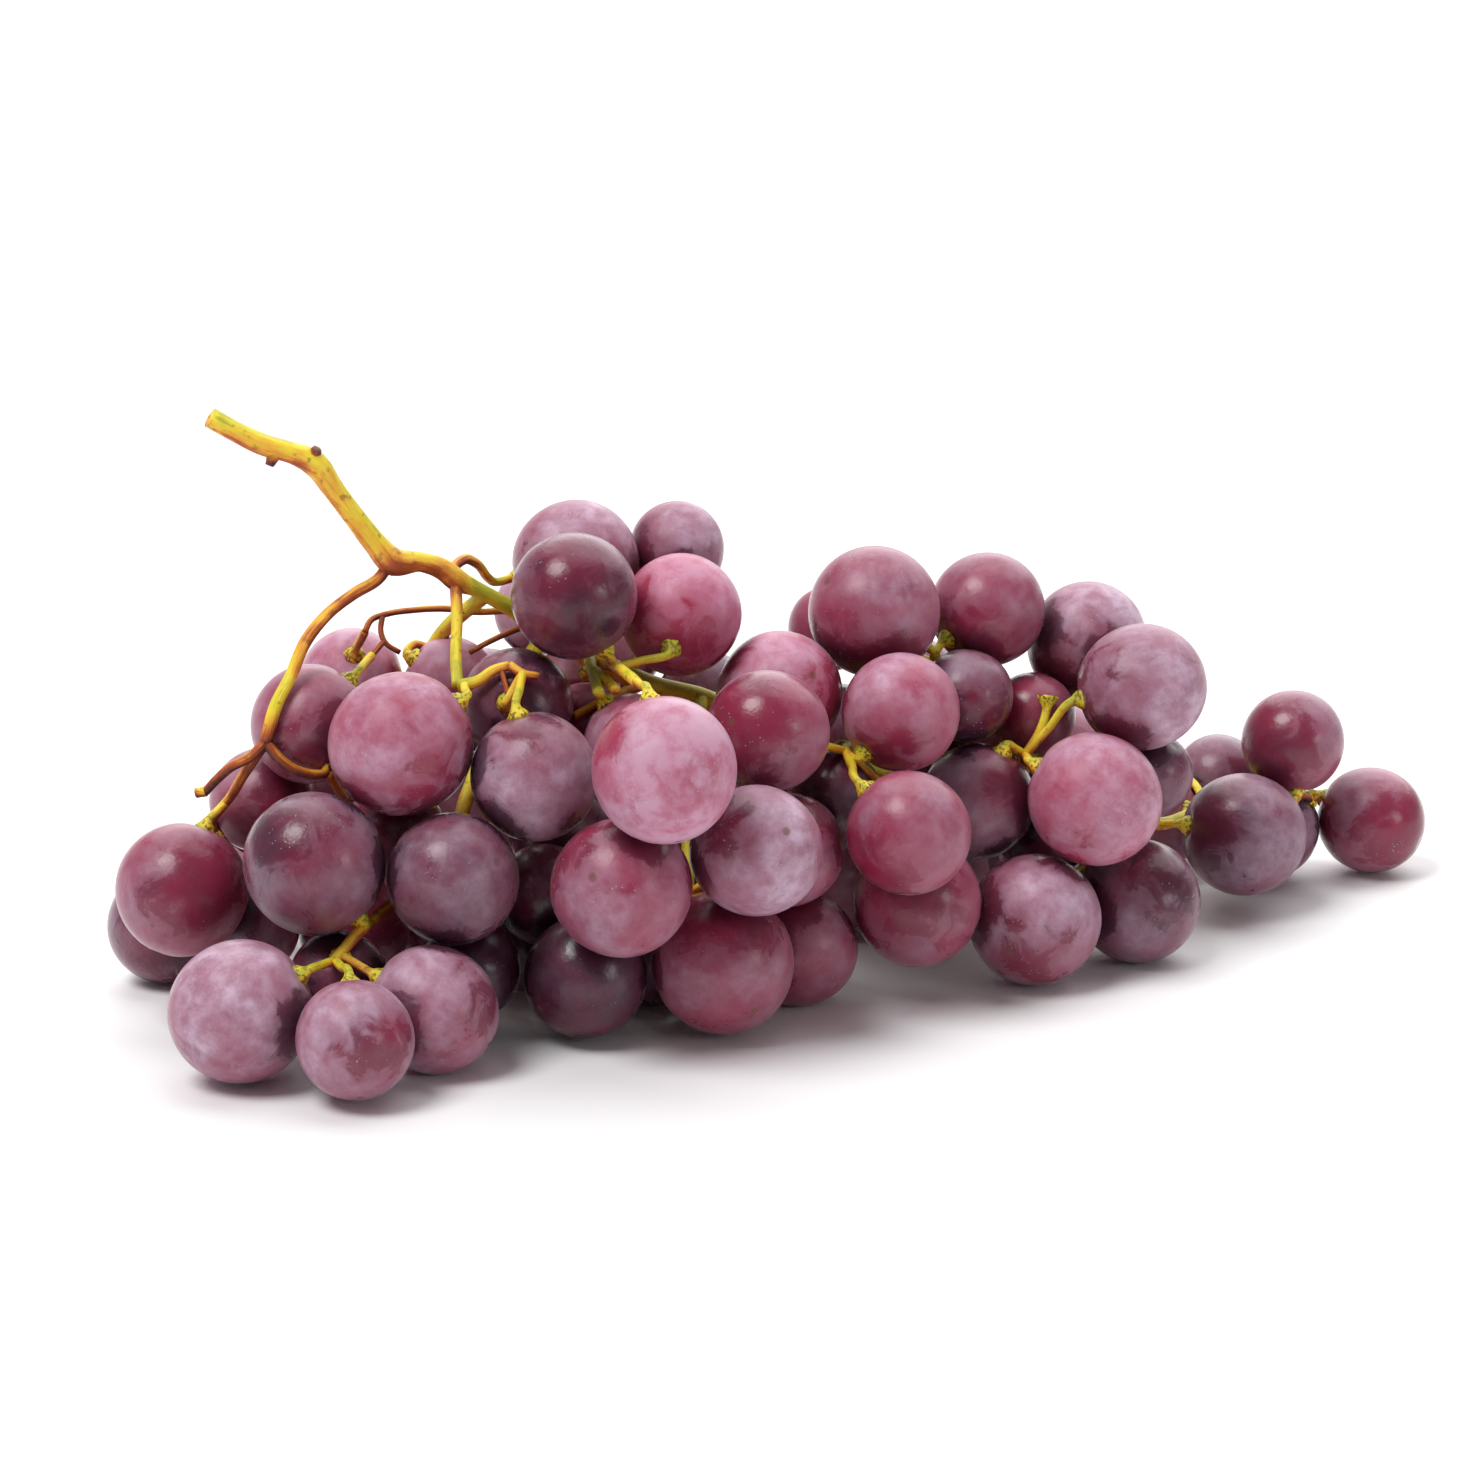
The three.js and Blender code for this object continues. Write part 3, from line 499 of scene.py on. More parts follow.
GREEN_YELLOW = (0.52, 0.50, 0.025)
YELLOW = (0.96, 0.76, 0.035)
OCHRE = (0.92, 0.46, 0.035)
ORANGE_BROWN = (0.54, 0.105, 0.014)
RED_BROWN = (0.075, 0.016, 0.012)
SPECK_BROWN = (0.10, 0.045, 0.01)
FLECK_RED = (0.30, 0.06, 0.014)

bark, tree, shader = new_material("grape_stem")
tone = wire(tree, "ShaderNodeAttribute", attribute_name="tone").outputs["Vector"]
grain = wire(tree, "ShaderNodeAttribute", attribute_name="grain").outputs["Vector"]
parts = wire(tree, "ShaderNodeSeparateXYZ", {0: tone})
own_place = wire(tree, "ShaderNodeTexCoord").outputs["Object"]
streaks = wire(tree, "ShaderNodeTexNoise", {"Vector": grain, "Scale": 2.6, "Detail": 6.0, "Roughness": 0.6})
blotches = wire(tree, "ShaderNodeTexNoise", {"Vector": own_place, "Scale": 180.0, "Detail": 3.0})
# the tone's first part is the warmth along the limb together with the painted shade of its underside
warmth = swung(tree, streaks.outputs["Fac"], 0.75, parts.outputs["X"])
warmth = swung(tree, blotches.outputs["Fac"], 0.7, warmth)
wood_colour = ramp(tree, warmth, [(0.0, GREEN_YELLOW), (0.22, YELLOW), (0.46, OCHRE),
                                  (0.68, ORANGE_BROWN), (1.0, RED_BROWN)])
flecks = wire(tree, "ShaderNodeTexNoise", {"Vector": own_place, "Scale": 520.0, "Detail": 4.0})
fleck_edge = reckon(tree, "MULTIPLY_ADD", parts.outputs["X"], -0.14, 0.66)
fleck_mask = span(tree, reckon(tree, "SUBTRACT", flecks.outputs["Fac"], fleck_edge), -0.04, 0.09, 0.0, 0.65)
flecked = painted(tree, fleck_mask, wood_colour, FLECK_RED)
speckle = wire(tree, "ShaderNodeTexNoise", {"Vector": own_place, "Scale": 1500.0, "Detail": 2.0})
speck_mask = reckon(tree, "MULTIPLY", span(tree, speckle.outputs["Fac"], 0.5, 0.58), parts.outputs["Y"])
tree.links.new(painted(tree, speck_mask, flecked, SPECK_BROWN), shader.inputs["Base Color"])
fibres = wire(tree, "ShaderNodeTexNoise", {"Vector": grain, "Scale": 9.0, "Detail": 5.0})
height = reckon(tree, "ADD", fibres.outputs["Fac"], reckon(tree, "MULTIPLY", speckle.outputs["Fac"], 0.6))
bump = wire(tree, "ShaderNodeBump", {"Strength": 0.5, "Distance": 0.0003, "Height": height})
tree.links.new(bump.outputs[0], shader.inputs["Normal"])
tree.links.new(span(tree, streaks.outputs["Fac"], 0.3, 0.7, 0.42, 0.62), shader.inputs["Roughness"])
shader.inputs["Subsurface Weight"].default_value = 0.08
shader.inputs["Subsurface Radius"].default_value = (1.0, 0.6, 0.2)
shader.inputs["Subsurface Scale"].default_value = 0.001

stem_curve = smooth_path(main_path, [row[3:] for row in MAIN_STEM], STEM_SPACING)
shells = [limb(stem_curve, STEM_SIDES, STEM_SEED)]
for number, (root, tip, root_radius, tip_radius, tip_warmth) in enumerate(SCARS, STEM_SEED + 1):
    ends = [placed(*root), between(placed(*root), placed(*tip), 0.5), placed(*tip)]
    values = [(root_radius, SCAR_ROOT_WARMTH), ((root_radius + tip_radius) / 2, SCAR_MIDDLE_WARMTH),
              (tip_radius, tip_warmth)]
    shells.append(limb(smooth_path(ends, values, SCAR_SPACING), SCAR_SIDES, number,
                       wart_height=SCAR_WART_HEIGHT, wart_reach=SCAR_WART_REACH))
main_stem = joined_piece("main_stem", shells, ("grain", "tone"), bark)
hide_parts("stem")

# The side branches. Thinner shoots of the same wood, grown from the main stem or from each other,
# that bend round the grapes; the outer ones are dry and orange-brown, the inner ones still green.
BRANCH_SIDES = 14
BRANCH_SPACING = 0.8
BRANCH_SEED = 20
STEER_PASSES, STEER_SMOOTH, STEER_CLEARANCE = 24, 0.3, 0.4
BRANCHES = [
    # radius at root and end, warmths from root to end, places
    (1.05, 1.2, (1.1, 0.85, 0.74, 0.76, 0.76, 0.62, 0.25, 0.15, 1.0), [(-64.1, 30.9, -24),
     (-66.1, 29.3, -24.5), (-70.6, 26.5, -26), (-75.9, 22.3, -28.5), (-79.7, 17.4, -30.5),
     (-82.3, 11.3, -31.5), (-84.6, 5.6, -32), (-86.9, -0.9, -32)]),
    (1.0, 0.8, (1.0, 0.8, 0.85, 0.9), [(-86.9, -0.9, -32), (-90.2, -3.9, -32), (-93.2, -5.4, -31.5),
     (-96.1, -7.9, -30), (-98.2, -10.2, -28.5)]),
    (1.0, 0.8, (1.0, 0.75, 0.6, 0.6, 0.7), [(-86.9, -0.9, -32), (-88.8, -3.6, -31),
     (-91.2, -7.2, -28), (-93.2, -10.6, -23), (-94.7, -14.6, -15), (-95.3, -17.6, -9)]),
    (1.0, 0.8, (1.0, 0.8, 0.75, 0.85), [(-86.9, -0.9, -32), (-84.8, -3.6, -32), (-82.1, -5.7, -31.5),
     (-78.4, -6.8, -30.5), (-75.6, -6.7, -29)]),
    (0.8, 0.8, (0.7, 0.6), [(-75.6, -6.7, -29), (-74.2, -8.9, -27.5), (-72.6, -11.2, -26)]),
    (0.65, 0.55, (0.6, 0.75, 0.8, 0.85, 0.95), [(-41.8, 22.2, -10), (-47.8, 23.1, -9), (-53.9, 23.7, -9),
     (-60.0, 23.4, -10), (-64.6, 22.7, -10.5), (-67.5, 21.6, -11), (-68.7, 19.3, -12)]),
    (0.55, 0.5, (0.9, 0.9, 0.95), [(-65.4, 22.3, -10.5), (-65.7, 19.3, -11.5), (-64.9, 17.4, -12),
     (-62.2, 15.6, -11.5)]),
    (0.5, 0.5, (0.9, 0.85), [(-65.1, 17.8, -12), (-67.4, 15.0, -13)]),
    (1.1, 1.05, (1.05, 0.55, 0.35, 0.35, 0.3), [(-52.0, 29.1, -17), (-51.7, 22.0, -20),
     (-51.9, 15.0, -24), (-51.6, 9.4, -29)]),
    (1.15, 0.9, (0.15, 0.3, 0.6, 0.7), [(-51.6, 9.4, -29), (-47.7, 10.4, -29), (-44.9, 12.3, -29.2),
     (-42.0, 13.2, -29.2)]),
    (0.85, 0.7, (0.7, 0.6, 0.75), [(-42.0, 13.2, -29.2), (-39.6, 11.7, -30.2), (-36.6, 11.2, -29.6)]),
    (1.0, 0.8, (0.6, 0.95, 0.85, 0.45, 0.2, 0.2, 0.6), [(-53.2, 30.2, -17.5), (-51.6, 32.0, -15),
     (-50.2, 32.8, -13), (-47.9, 31.9, -10), (-46.1, 29.6, -6), (-44.6, 28.6, -2), (-41, 29.5, 2)]),
    (0.6, 0.5, (0.85, 0.9, 0.85), [(-37.5, 20.6, -8), (-41.3, 19.9, -10), (-44.6, 18.6, -12),
     (-48.3, 17.6, -13), (-49.3, 15.6, -13.5)]),
    (1.3, 1.0, (0.5, 0.6, 0.5, 0.35), [(-25.3, 13.8, -3), (-23.2, 15.0, -10), (-22.0, 14.2, -20),
     (-20.8, 12.6, -34), (-18.6, 10.2, -46)]),
    (1.1, 1.0, (0.3, 0.15, 0.1, 0.3), [(-27.3, 15.0, -4), (-27.1, 14.4, -14), (-26.3, 10.8, -22),
     (-25.5, 8.2, -25)]),
    (1.1, 0.9, (0.2, 0.15, 0.5, 0.6), [(-27.1, 14.4, -14), (-25.2, 14.0, -17), (-23.6, 11.4, -22),
     (-22.4, 8.6, -25)]),
    (1.0, 0.8, (0.6, 0.7), [(-16.5, 9.9, -2), (-18.3, 9.5, -14), (-24.0, 7.0, -18), (-30.0, 3.9, -18)]),
    (1.5, 1.0, (0.3, 0.5, 0.75, 0.6), [(-35.4, 19.7, -6), (-44, 2, -8), (-52, -14, -14), (-62, -24, -24),
     (-69.0, -30.0, -33), (-70.4, -34.0, -38), (-72.2, -38.2, -43), (-74.2, -41.2, -46)]),
    (1.6, 1.1, (0.2, 0.4), [(-6.8, 7.4, 2), (-9, -3, -12), (-11, -14, -20), (-11, -24, -22),
     (-9, -32, -20)]),
    (1.3, 1.0, (0.2, 0.3), [(21.0, -5.2, 15), (19.7, -2.5, 6), (19.0, -1.5, -3), (20.0, -2.6, -9)]),
    (1.3, 1.0, (0.2, 0.3), [(37.5, -8.9, 23), (36, 2, 18), (35.8, 11, 13), (36.5, 15.5, 10)]),
    (1.3, 1.0, (0.2, 0.3), [(52.2, -10.7, 30), (53.0, -6.5, 20), (53.1, -3.3, 8)]),
    (1.3, 1.0, (0.2, 0.4), [(68.8, -13.1, 38), (66, -19, 26), (64, -24, 18)]),
    (1.5, 1.0, (0.2, 0.4), [(-46.4, 26.3, -13), (-52, 22, 0), (-62, 12, 14), (-72, 0, 22),
     (-76, -12, 22)]),
    (1.5, 1.0, (0.2, 0.4), [(-16.0, 9.8, -1), (-14, 4, 14), (-14, -5, 27), (-11, -14, 35)]),
    (1.4, 1.0, (0.2, 0.4), [(37.5, -8.9, 23), (38, -10, 36), (38, -16, 46)]),
    (1.4, 1.0, (0.2, 0.4), [(6.0, 1.3, 8), (4, -14, 10), (4, -26, 14)]),
    (0.9, 0.6, (0.5, 1.05), [(86.5, -12.5, 61), (95, -11, 61), (101, -10.5, 61), (106, -12, 64)]),
    (0.55, 0.45, (0.95, 0.95), [(-43.6, 12.8, -29), (-42.9, 10.0, -30.6), (-42.2, 7.4, -31.2)]),
]
# the first ones lie in plain view and keep exactly to their places; the others are drawn smooth
FREE_BRANCHES = 12


def nearest_point(paths, p):
    """The point of some paths that lies nearest to p: p's foot on each straight, kept within its ends."""
    best, best_distance = None, math.inf
    for path in paths:
        for a, b in zip(path, path[1:]):
            length = apart(a, b)
            along = sum((p[k] - a[k]) * (b[k] - a[k]) for k in range(3)) / (length * length)
            q = between(a, b, min(1, max(0, along)))
            distance = apart(p, q)
            if distance < best_distance:
                best, best_distance = q, distance
    return best


def steered(path, radius, smooth):
    """The path with its inner points drawn smooth and pushed out of every grape, again and again."""
    points = [list(p) for p in path]
    for step in range(STEER_PASSES):
        for i in range(1, len(points) - 1):
            p = points[i]
            move_by(p, between(points[i - 1], points[i + 1], 0.5), smooth * (1 - step / STEER_PASSES))
            for grape in grapes:
                distance = apart(p, grape["place"])
                want = grape["radius"] + radius + STEER_CLEARANCE
                if distance < want:
                    move_by(p, grape["place"], -(want - distance) / distance)
    return points


branch_paths, shells = [], []
for number, (root_radius, end_radius, warmths, places) in enumerate(BRANCHES):
    route = [placed(*place) for place in places]
    route[0] = nearest_point([main_path, *branch_paths], route[0])
    route = steered(route, root_radius, 0 if number < FREE_BRANCHES else STEER_SMOOTH)
    branch_paths.append(route)
    share = np.linspace(0, 1, len(route))
    radii = root_radius + (end_radius - root_radius) * share
    hues = np.interp(share, np.linspace(0, 1, len(warmths)), warmths)
    curve = smooth_path(route, np.column_stack([radii, hues]), BRANCH_SPACING)
    shells.append(limb(curve, BRANCH_SIDES, BRANCH_SEED + number))
side_branches = joined_piece("side_branches", shells, ("grain", "tone"), bark)
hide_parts("stem")

# The stalks. Every grape hangs on a short thin stalk that widens into a warty, green-yellow seat
# with brown corky specks, and the grape's skin is grown on to that seat.
STALK_SIDES = 14
STALK_SPACING = 0.35
STALK_RADIUS = 0.8
STALK_SEED, WARMTH_SEED = 60, 7
STALK_WARMTH, ROOT_EXTRA_WARMTH, SEAT_WARMTH = (0.12, 0.5), 0.2, 0.2
SEAT_RADIUS = 2.0
SEAT_LENGTH = 2.4
SEAT_LIFT = 0.05
WART_HEIGHT, WART_SPREAD = 0.11, 1.5
END_REACH, END_CLEARANCE, END_PASSES = 3, 2.6, 8
NECK = 1.9
GRAPE_WIDE = 0.985
HOLLOW_RADIUS = 3.2
# a stalk that has lost its grape
BARE_STALK = [(53.1, -3.3, 8), (55.6, 0.6, 8), (57.0, 4.4, 8.5), (57.4, 7.4, 9)]


def stepped(p, q, length):
    """The point a given length from p towards q."""
    return between(p, q, length / apart(p, q))


def rim_height(radius):
    """Height of the rim of a grape's hollow above its middle."""
    return GRAPE_WIDE * math.sqrt(radius * radius - HOLLOW_RADIUS * HOLLOW_RADIUS)


def stalk_end(grape, paths):
    """Unit way from a grape's middle to its stalk: as seen, or to the nearest branch, past neighbours."""
    middle, reach = grape["place"], grape["radius"] + END_REACH
    if grape["end"]:
        tip = [middle[k] + sight_way(*grape["end"])[k] * reach for k in range(3)]
    else:
        tip = stepped(middle, nearest_point(paths, middle), reach)
    for _ in range(END_PASSES):
        for other in grapes:
            distance = apart(tip, other["place"])
            want = other["radius"] + END_CLEARANCE
            if other is not grape and distance < want:
                move_by(tip, other["place"], -(want - distance) / distance)
        tip = stepped(middle, tip, reach)
    return [(tip[k] - middle[k]) / reach for k in range(3)]


# the last branch is a thin dark twig that carries nothing
twigs = [*branch_paths[:-1], main_path[RACHIS_FROM:]]
routes = []
for grape in grapes:
    grape["axis"] = stalk_end(grape, twigs)
    face = rim_height(grape["radius"]) - SEAT_LIFT
    neck, seat = ([grape["place"][k] + grape["axis"][k] * out for k in range(3)]
                  for out in (face + NECK, face))
    root = nearest_point(twigs, neck)
    routes.append([*steered([root, between(root, neck, 0.5), neck], STALK_RADIUS, STEER_SMOOTH), seat])
routes.append([placed(*place) for place in BARE_STALK])
shells = []
chance = np.random.default_rng(WARMTH_SEED)
for number, route in enumerate(routes, STALK_SEED):
    hue = chance.uniform(*STALK_WARMTH)
    values = [(STALK_RADIUS, hue + ROOT_EXTRA_WARMTH)] * 2 + [(STALK_RADIUS, hue)] * 2
    curve = smooth_path(route, values, STALK_SPACING)
    to_end = np.linalg.norm(np.diff(curve[::-1, :3], axis=0), axis=1)
    to_end = np.concatenate([[0], np.cumsum(to_end)])[::-1]
    swell = np.clip(1 - to_end / SEAT_LENGTH, 0, 1)
    curve[:, 3] += (SEAT_RADIUS - STALK_RADIUS) * swell ** 2 * (3 - 2 * swell)
    curve[:, 4] = curve[:, 4] * (1 - swell) + SEAT_WARMTH * swell
    shells.append(limb(curve, STALK_SIDES, number, wart_height=WART_HEIGHT,
                       wart_reach=SEAT_LENGTH + WART_SPREAD))
stalks = joined_piece("stalks", shells, ("grain", "tone"), bark)
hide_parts("stem")

# The grapes. Plump, slightly long berries with a thin wine-red to purple skin under a pale waxy bloom
# that lies in clouds and is rubbed off where fingers and neighbours touched it. Each is a little
# hollow at its stalk, has a small corky dot where the flower was, and is pressed flat where it rests.
BERRY_ROWS, BERRY_COLUMNS = 44, 56
HOLLOW_DEPTH = 0.8
HOLLOW_WIDTH = 2.4
DOT_DEPTH = 0.25
DOT_WIDTH = 1.0
LUMP = 0.009
BERRY_SEED = 500
LENGTH_SHARES = (0.99, 1.02)
TOUCH_REACH = 4.4
RUB_EDGE = 1.02
LUCK_SPREAD = 0.06
PATTERN_SPREAD = 400
COMPLEXIONS = {
    # redness of the skin, thickness of the bloom, paleness of the bloom, share rubbed off
    "blush": (0.95, 0.98, 0.3, 0.12),
    "rosy": (0.8, 0.7, 0.32, 0.22),
    "flushed": (1.4, 0.86, -0.1, 0.2),
    "lilac": (0.4, 0.7, 0.6, 0.2),
    "wine": (0.6, 0.37, 0.35, 0.36),
    "plum": (0.2, 0.37, 0.6, 0.32),
    "dusky": (0.15, 0.26, 0.3, 0.4),
    # shaded is painted shade: a dark skin with hardly any bloom, for grapes that lie in the shadow of
    # others
    "shaded": (0.05, 0.1, 0.4, 0.4),
    "polished": (0.55, 0.42, 0.5, 0.5),
}


def berry(grape, number):
    """One grape: rings round its axis, from the stalk end to the flower dot.

    The radius is the berry's own times one plus two slow waves round it. The height along the axis
    is the cosine of the polar angle, less a bell-shaped hollow at the stalk and a small one at the dot.
    Touch is a bell curve of the gap between the skin and the nearest neighbour.
    """
    luck = np.random.default_rng(BERRY_SEED + number)
    polar = np.linspace(0, math.pi, BERRY_ROWS)[1:-1, None]
    turn = np.linspace(0, 2 * math.pi, BERRY_COLUMNS, endpoint=False)[None]
    phase = luck.uniform(0, 2 * math.pi, 3)
    long = luck.uniform(*LENGTH_SHARES)
    waves = np.sin(2 * turn + phase[0]) + 0.7 * np.sin(3 * turn + phase[1] + 2 * polar)
    size = grape["radius"] * (1 + LUMP * np.sin(polar) ** 2 * waves)
    across = GRAPE_WIDE * size * np.sin(polar)
    height = size * long * np.cos(polar) * np.ones_like(turn)
    height -= HOLLOW_DEPTH * np.exp(-(across / HOLLOW_WIDTH) ** 2) * (np.cos(polar) > 0)
    height += DOT_DEPTH * np.exp(-(across / DOT_WIDTH) ** 2) * (np.cos(polar) < 0)
    body = np.stack([across * np.cos(turn), across * np.sin(turn), height], axis=-1).reshape(-1, 3)
    top = grape["radius"] * long - HOLLOW_DEPTH
    bottom = -grape["radius"] * long + DOT_DEPTH
    own = np.concatenate([body, [[0, 0, top]], [[0, 0, bottom]]])
    axis = Vector(grape["axis"])
    sideways = axis.orthogonal().normalized()
    basis = np.array([sideways, axis.cross(sideways), axis])
    points = own @ basis + np.array(grape["place"])
    points[:, 2] = np.maximum(points[:, 2], 0)
    way = own / np.linalg.norm(own, axis=1)[:, None]
    redness, bloom, paleness, rubbed = COMPLEXIONS[grape["complexion"]]
    nature = np.array([redness, bloom, paleness]) + luck.uniform(-LUCK_SPREAD, LUCK_SPREAD, 3)
    if grape["rubbed"]:
        wiped_way = sight_way(*grape["rubbed"])
    else:
        wiped_way = Vector(luck.normal(size=3)).normalized()
    facing = way @ basis @ np.array(wiped_way)
    wiped = facing + rubbed + luck.uniform(-LUCK_SPREAD, LUCK_SPREAD) - RUB_EDGE
    others = [other for other in grapes if other is not grape]
    centres = np.array([other["place"] for other in others])
    gap = np.linalg.norm(points[:, None] - centres[None], axis=2) - [other["radius"] for other in others]
    # closeness to the nearest neighbour: there the bloom is rubbed off, and the same mask paints shade on
    # the skin
    touch = np.exp(-(np.maximum(gap.min(axis=1), 0) / TOUCH_REACH) ** 2)
    rub_and_shade = np.column_stack([wiped, touch, way[:, 2]])
    return {"points": points, "faces": tube_faces(BERRY_ROWS - 2, BERRY_COLUMNS, inside_out=True),
            "pattern": own + luck.uniform(0, PATTERN_SPREAD, 3),
            "nature": np.tile(nature, (len(own), 1)), "rub_and_shade": rub_and_shade}


DARK_SKIN = (0.042, 0.008, 0.022)
RED_SKIN = (0.33, 0.016, 0.058)
BLOOM_ROSE = (0.56, 0.21, 0.32)
BLOOM_LAVENDER = (0.57, 0.42, 0.54)
WAX_WHITE = (0.86, 0.78, 0.84)
CORK = (0.16, 0.07, 0.045)

skin, tree, shader = new_material("grape_skin")
pattern = wire(tree, "ShaderNodeAttribute", attribute_name="pattern").outputs["Vector"]
nature = wire(tree, "ShaderNodeSeparateXYZ",
              {0: wire(tree, "ShaderNodeAttribute", attribute_name="nature").outputs["Vector"]})
rub_and_shade = wire(tree, "ShaderNodeSeparateXYZ",
           {0: wire(tree, "ShaderNodeAttribute", attribute_name="rub_and_shade").outputs["Vector"]})
redness, thickness, paleness = nature.outputs["X"], nature.outputs["Y"], nature.outputs["Z"]
wiped_side, touched_near, along_axis = rub_and_shade.outputs["X"], rub_and_shade.outputs["Y"], rub_and_shade.outputs["Z"]


def cloud(scale, detail, distortion=0.0, vector=pattern):
    """Noise over the skin with features of about one over the scale, in millimetres."""
    return wire(tree, "ShaderNodeTexNoise", {"Vector": vector, "Scale": scale, "Detail": detail,
                                             "Roughness": 0.6, "Distortion": distortion}).outputs["Fac"]


drift = cloud(0.085, 2.0)
mottle = cloud(0.32, 4.0)
powder = cloud(2.2, 3.0)
scuffs = cloud(0.16, 5.0, 0.6)
lengthwise = wire(tree, "ShaderNodeMapping", {"Vector": pattern, "Scale": (1.0, 1.0, 0.3)}).outputs[0]
streaks = cloud(0.5, 4.0, 0.0, lengthwise)

# bare skin: on the wiped side and round each spot where a neighbour pressed, both with a ragged edge,
# and scuffs anywhere; the mask round each neighbour also carries painted shade on the skin below
raggedness = swung(tree, scuffs, 1.7, swung(tree, mottle, 0.6, 0.0))
wiped_ragged = reckon(tree, "ADD", wiped_side, raggedness)
wiped = reckon(tree, "ADD", span(tree, wiped_ragged, -0.5, 0.4, 0.0, 0.64),
               span(tree, wiped_ragged, -0.06, 0.18, 0.0, 0.34))
pressed_and_shaded = reckon(tree, "MULTIPLY_ADD", raggedness, 0.75, reckon(tree, "SUBTRACT", touched_near, 0.53))
pressed_and_shaded = reckon(tree, "ADD", span(tree, pressed_and_shaded, -0.4, 0.3, 0.0, 0.55),
                 span(tree, pressed_and_shaded, -0.06, 0.14, 0.0, 0.4))
scuffed = span(tree, scuffs, 0.52, 0.8, 0.0, 0.7)
bare = reckon(tree, "MAXIMUM", wiped, reckon(tree, "MAXIMUM", pressed_and_shaded, scuffed))

# how much bloom covers the skin: clouds, mottling, faint streaks and powder, less where it is bare
cover = span(tree, drift, 0.3, 0.68, 0.6, 1.2)
for share in (span(tree, mottle, 0.28, 0.7, 0.72, 1.22), span(tree, streaks, 0.3, 0.7, 0.93, 1.05),
              span(tree, powder, 0.2, 0.8, 0.93, 1.06), reckon(tree, "MULTIPLY_ADD", bare, -0.92, 1.0),
              thickness):
    cover = reckon(tree, "MULTIPLY", cover, share)
# painted shade: near each neighbour the bare skin is also made darker, where the grapes shade each other
skin_red = reckon(tree, "MULTIPLY_ADD", pressed_and_shaded, -0.25, swung(tree, drift, -0.9, redness))
skin_colour = painted(tree, skin_red, DARK_SKIN, RED_SKIN)
pale_here = swung(tree, drift, 1.0, swung(tree, mottle, 0.8, paleness))
bloom_colour = painted(tree, pale_here, BLOOM_ROSE, BLOOM_LAVENDER)
dusted = painted(tree, cover, skin_colour, bloom_colour)

# white grains of wax, most at the far end from the stalk, and the small corky dot of the flower
grains = wire(tree, "ShaderNodeTexVoronoi", {"Vector": pattern, "Scale": 1.5, "Randomness": 1.0})
grain_pick = wire(tree, "ShaderNodeSeparateColor", {0: grains.outputs["Color"]}).outputs[0]
grain_zone = reckon(tree, "MULTIPLY", span(tree, scuffs, 0.48, 0.62), span(tree, along_axis, 0.3, -0.6))
grain_here = reckon(tree, "MULTIPLY", span(tree, grains.outputs["Distance"], 0.24, 0.12),
                    span(tree, grain_pick, 0.66, 0.72))
grain_here = reckon(tree, "MULTIPLY", reckon(tree, "MULTIPLY", grain_here, grain_zone), 0.4)
grained = painted(tree, grain_here, dusted, WAX_WHITE)
flower_dot = reckon(tree, "MULTIPLY", span(tree, along_axis, -0.9965, -0.9988), 0.7)
tree.links.new(painted(tree, flower_dot, grained, CORK), shader.inputs["Base Color"])
tree.links.new(span(tree, cover, 0.1, 0.6, 0.26, 0.5), shader.inputs["Roughness"])
height = reckon(tree, "MULTIPLY_ADD", mottle, 1.0, reckon(tree, "MULTIPLY", powder, 0.12))
bump = wire(tree, "ShaderNodeBump", {"Strength": 0.35, "Distance": 0.0004, "Height": height})
tree.links.new(bump.outputs[0], shader.inputs["Normal"])
edge_on = wire(tree, "ShaderNodeLayerWeight", {"Blend": 0.5}).outputs["Facing"]
tree.links.new(span(tree, edge_on, 0.5, 0.88, 0.0, 0.4), shader.inputs["Coat Weight"])
shader.inputs["Coat Roughness"].default_value = 0.18
shader.inputs["IOR"].default_value = 1.45
shader.inputs["Subsurface Weight"].default_value = 0.12
shader.inputs["Subsurface Radius"].default_value = (1.0, 0.25, 0.3)
shader.inputs["Subsurface Scale"].default_value = 0.003
shader.inputs["Sheen Weight"].default_value = 0.15
shader.inputs["Sheen Roughness"].default_value = 0.14
shader.inputs["Sheen Tint"].default_value = (0.92, 0.88, 1.0, 1)

for cluster in dict.fromkeys(grape["cluster"] for grape in grapes):
    shells = [berry(grape, number) for number, grape in enumerate(grapes) if grape["cluster"] == cluster]
    berries = joined_piece(f"berries_{cluster}", shells, ("pattern", "nature", "rub_and_shade"), skin)
    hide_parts(f"grapes_{cluster}")

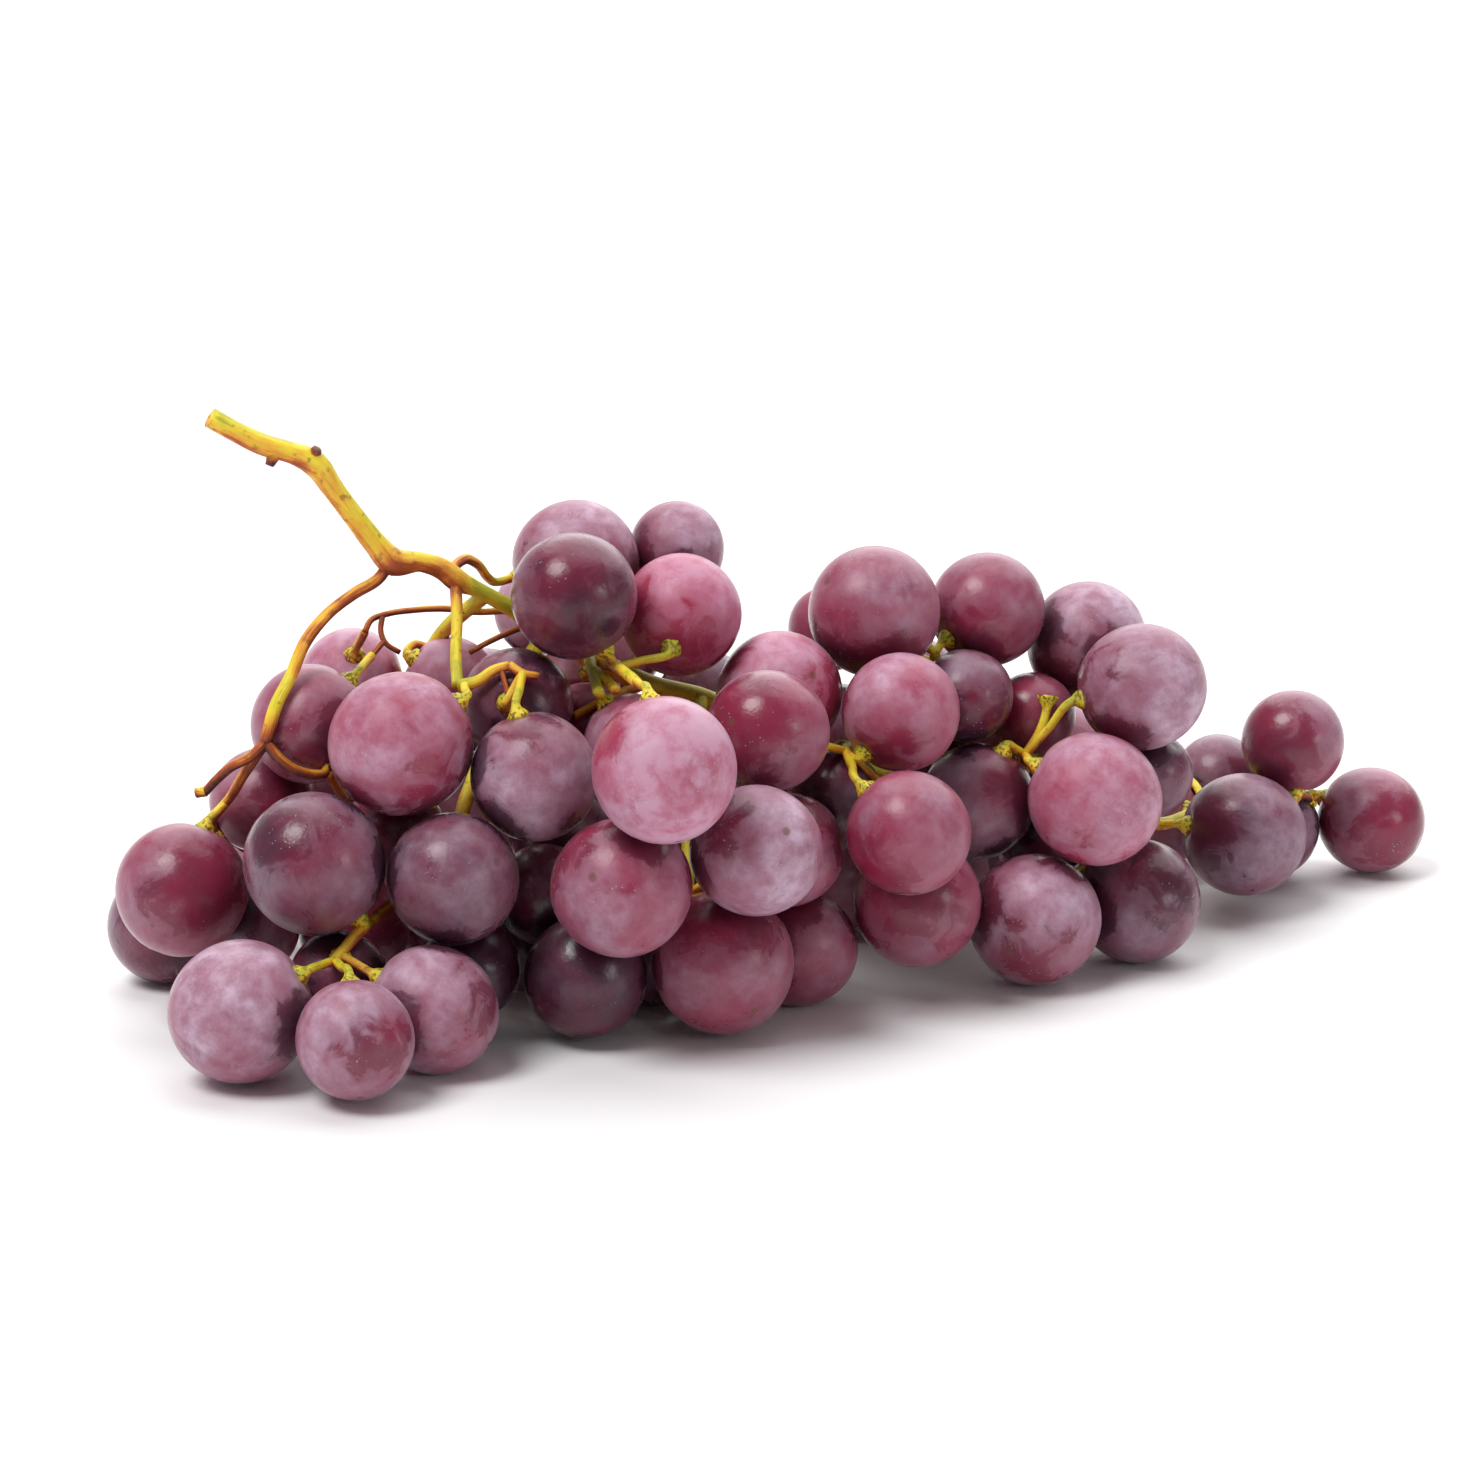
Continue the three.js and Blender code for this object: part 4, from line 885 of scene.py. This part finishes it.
# The table and the light. A plain matt white table in a white room, with a soft window light from
# the front left and above, a very wide one from the ceiling and a faint one from the right.
TABLE_REACH = 6.0
TABLE_WHITE, TABLE_ROUGHNESS = (0.93, 0.93, 0.93, 1), 0.6
table_mesh = bpy.data.meshes.new("table")
table_mesh.from_pydata([(-TABLE_REACH, -TABLE_REACH, 0), (TABLE_REACH, -TABLE_REACH, 0),
                        (TABLE_REACH, TABLE_REACH, 0), (-TABLE_REACH, TABLE_REACH, 0)], [], [(0, 1, 2, 3)])
white, tree, shader = new_material("white_table")
shader.inputs["Base Color"].default_value = TABLE_WHITE
shader.inputs["Roughness"].default_value = TABLE_ROUGHNESS
table_mesh.materials.append(white)
table = bpy.data.objects.new("table", table_mesh)
bpy.context.collection.objects.link(table)

LAMPS = [
    # name, way towards the lamp as seen, strength, spread of the light in degrees
    ("window_light", (-0.40, 0.75, -0.51), 2.15, 28),
    ("ceiling_light", (0.2, 1.0, 0.4), 2.55, 80),
    ("side_light", (0.80, 0.12, -0.6), 0.35, 16),
]
for name, way_to_lamp, strength, spread in LAMPS:
    light = bpy.data.lights.new(name, "SUN")
    light.energy = strength
    light.angle = math.radians(spread)
    lamp = bpy.data.objects.new(name, light)
    bpy.context.collection.objects.link(lamp)
    lamp.rotation_euler = sight_way(*way_to_lamp).to_track_quat("Z", "Y").to_euler()

# the room lights the skins evenly; what they mirror is bright behind the bunch and dim elsewhere
ROOM_LIGHT, BACKDROP_GLOSS, ROOM_GLOSS = 0.18, 1.1, 0.2
BACKDROP_EDGE, BACKDROP_FULL = 0.3, 0.95
ROOM_WHITE = (1, 1, 1, 1)
room = bpy.data.worlds.new("white_room")
room.use_nodes = True
walls = room.node_tree
ray = wire(walls, "ShaderNodeLightPath")
looked_way = wire(walls, "ShaderNodeTexCoord").outputs["Generated"]
backdrop = wire(walls, "ShaderNodeVectorMath", {0: looked_way, 1: tuple(line_of_sight)},
                operation="DOT_PRODUCT")
mirrored = wire(walls, "ShaderNodeMapRange", {"Value": backdrop.outputs["Value"], "From Min": BACKDROP_EDGE,
                                              "From Max": BACKDROP_FULL, "To Min": ROOM_GLOSS,
                                              "To Max": BACKDROP_GLOSS})
strength = wire(walls, "ShaderNodeMapRange", {"Value": ray.outputs["Is Glossy Ray"], "To Min": ROOM_LIGHT,
                                              "To Max": mirrored.outputs["Result"]})
walls.links.new(strength.outputs["Result"], walls.nodes["Background"].inputs["Strength"])
walls.nodes["Background"].inputs["Color"].default_value = ROOM_WHITE
bpy.context.scene.world = room
bpy.context.scene.view_settings.view_transform = "Standard"
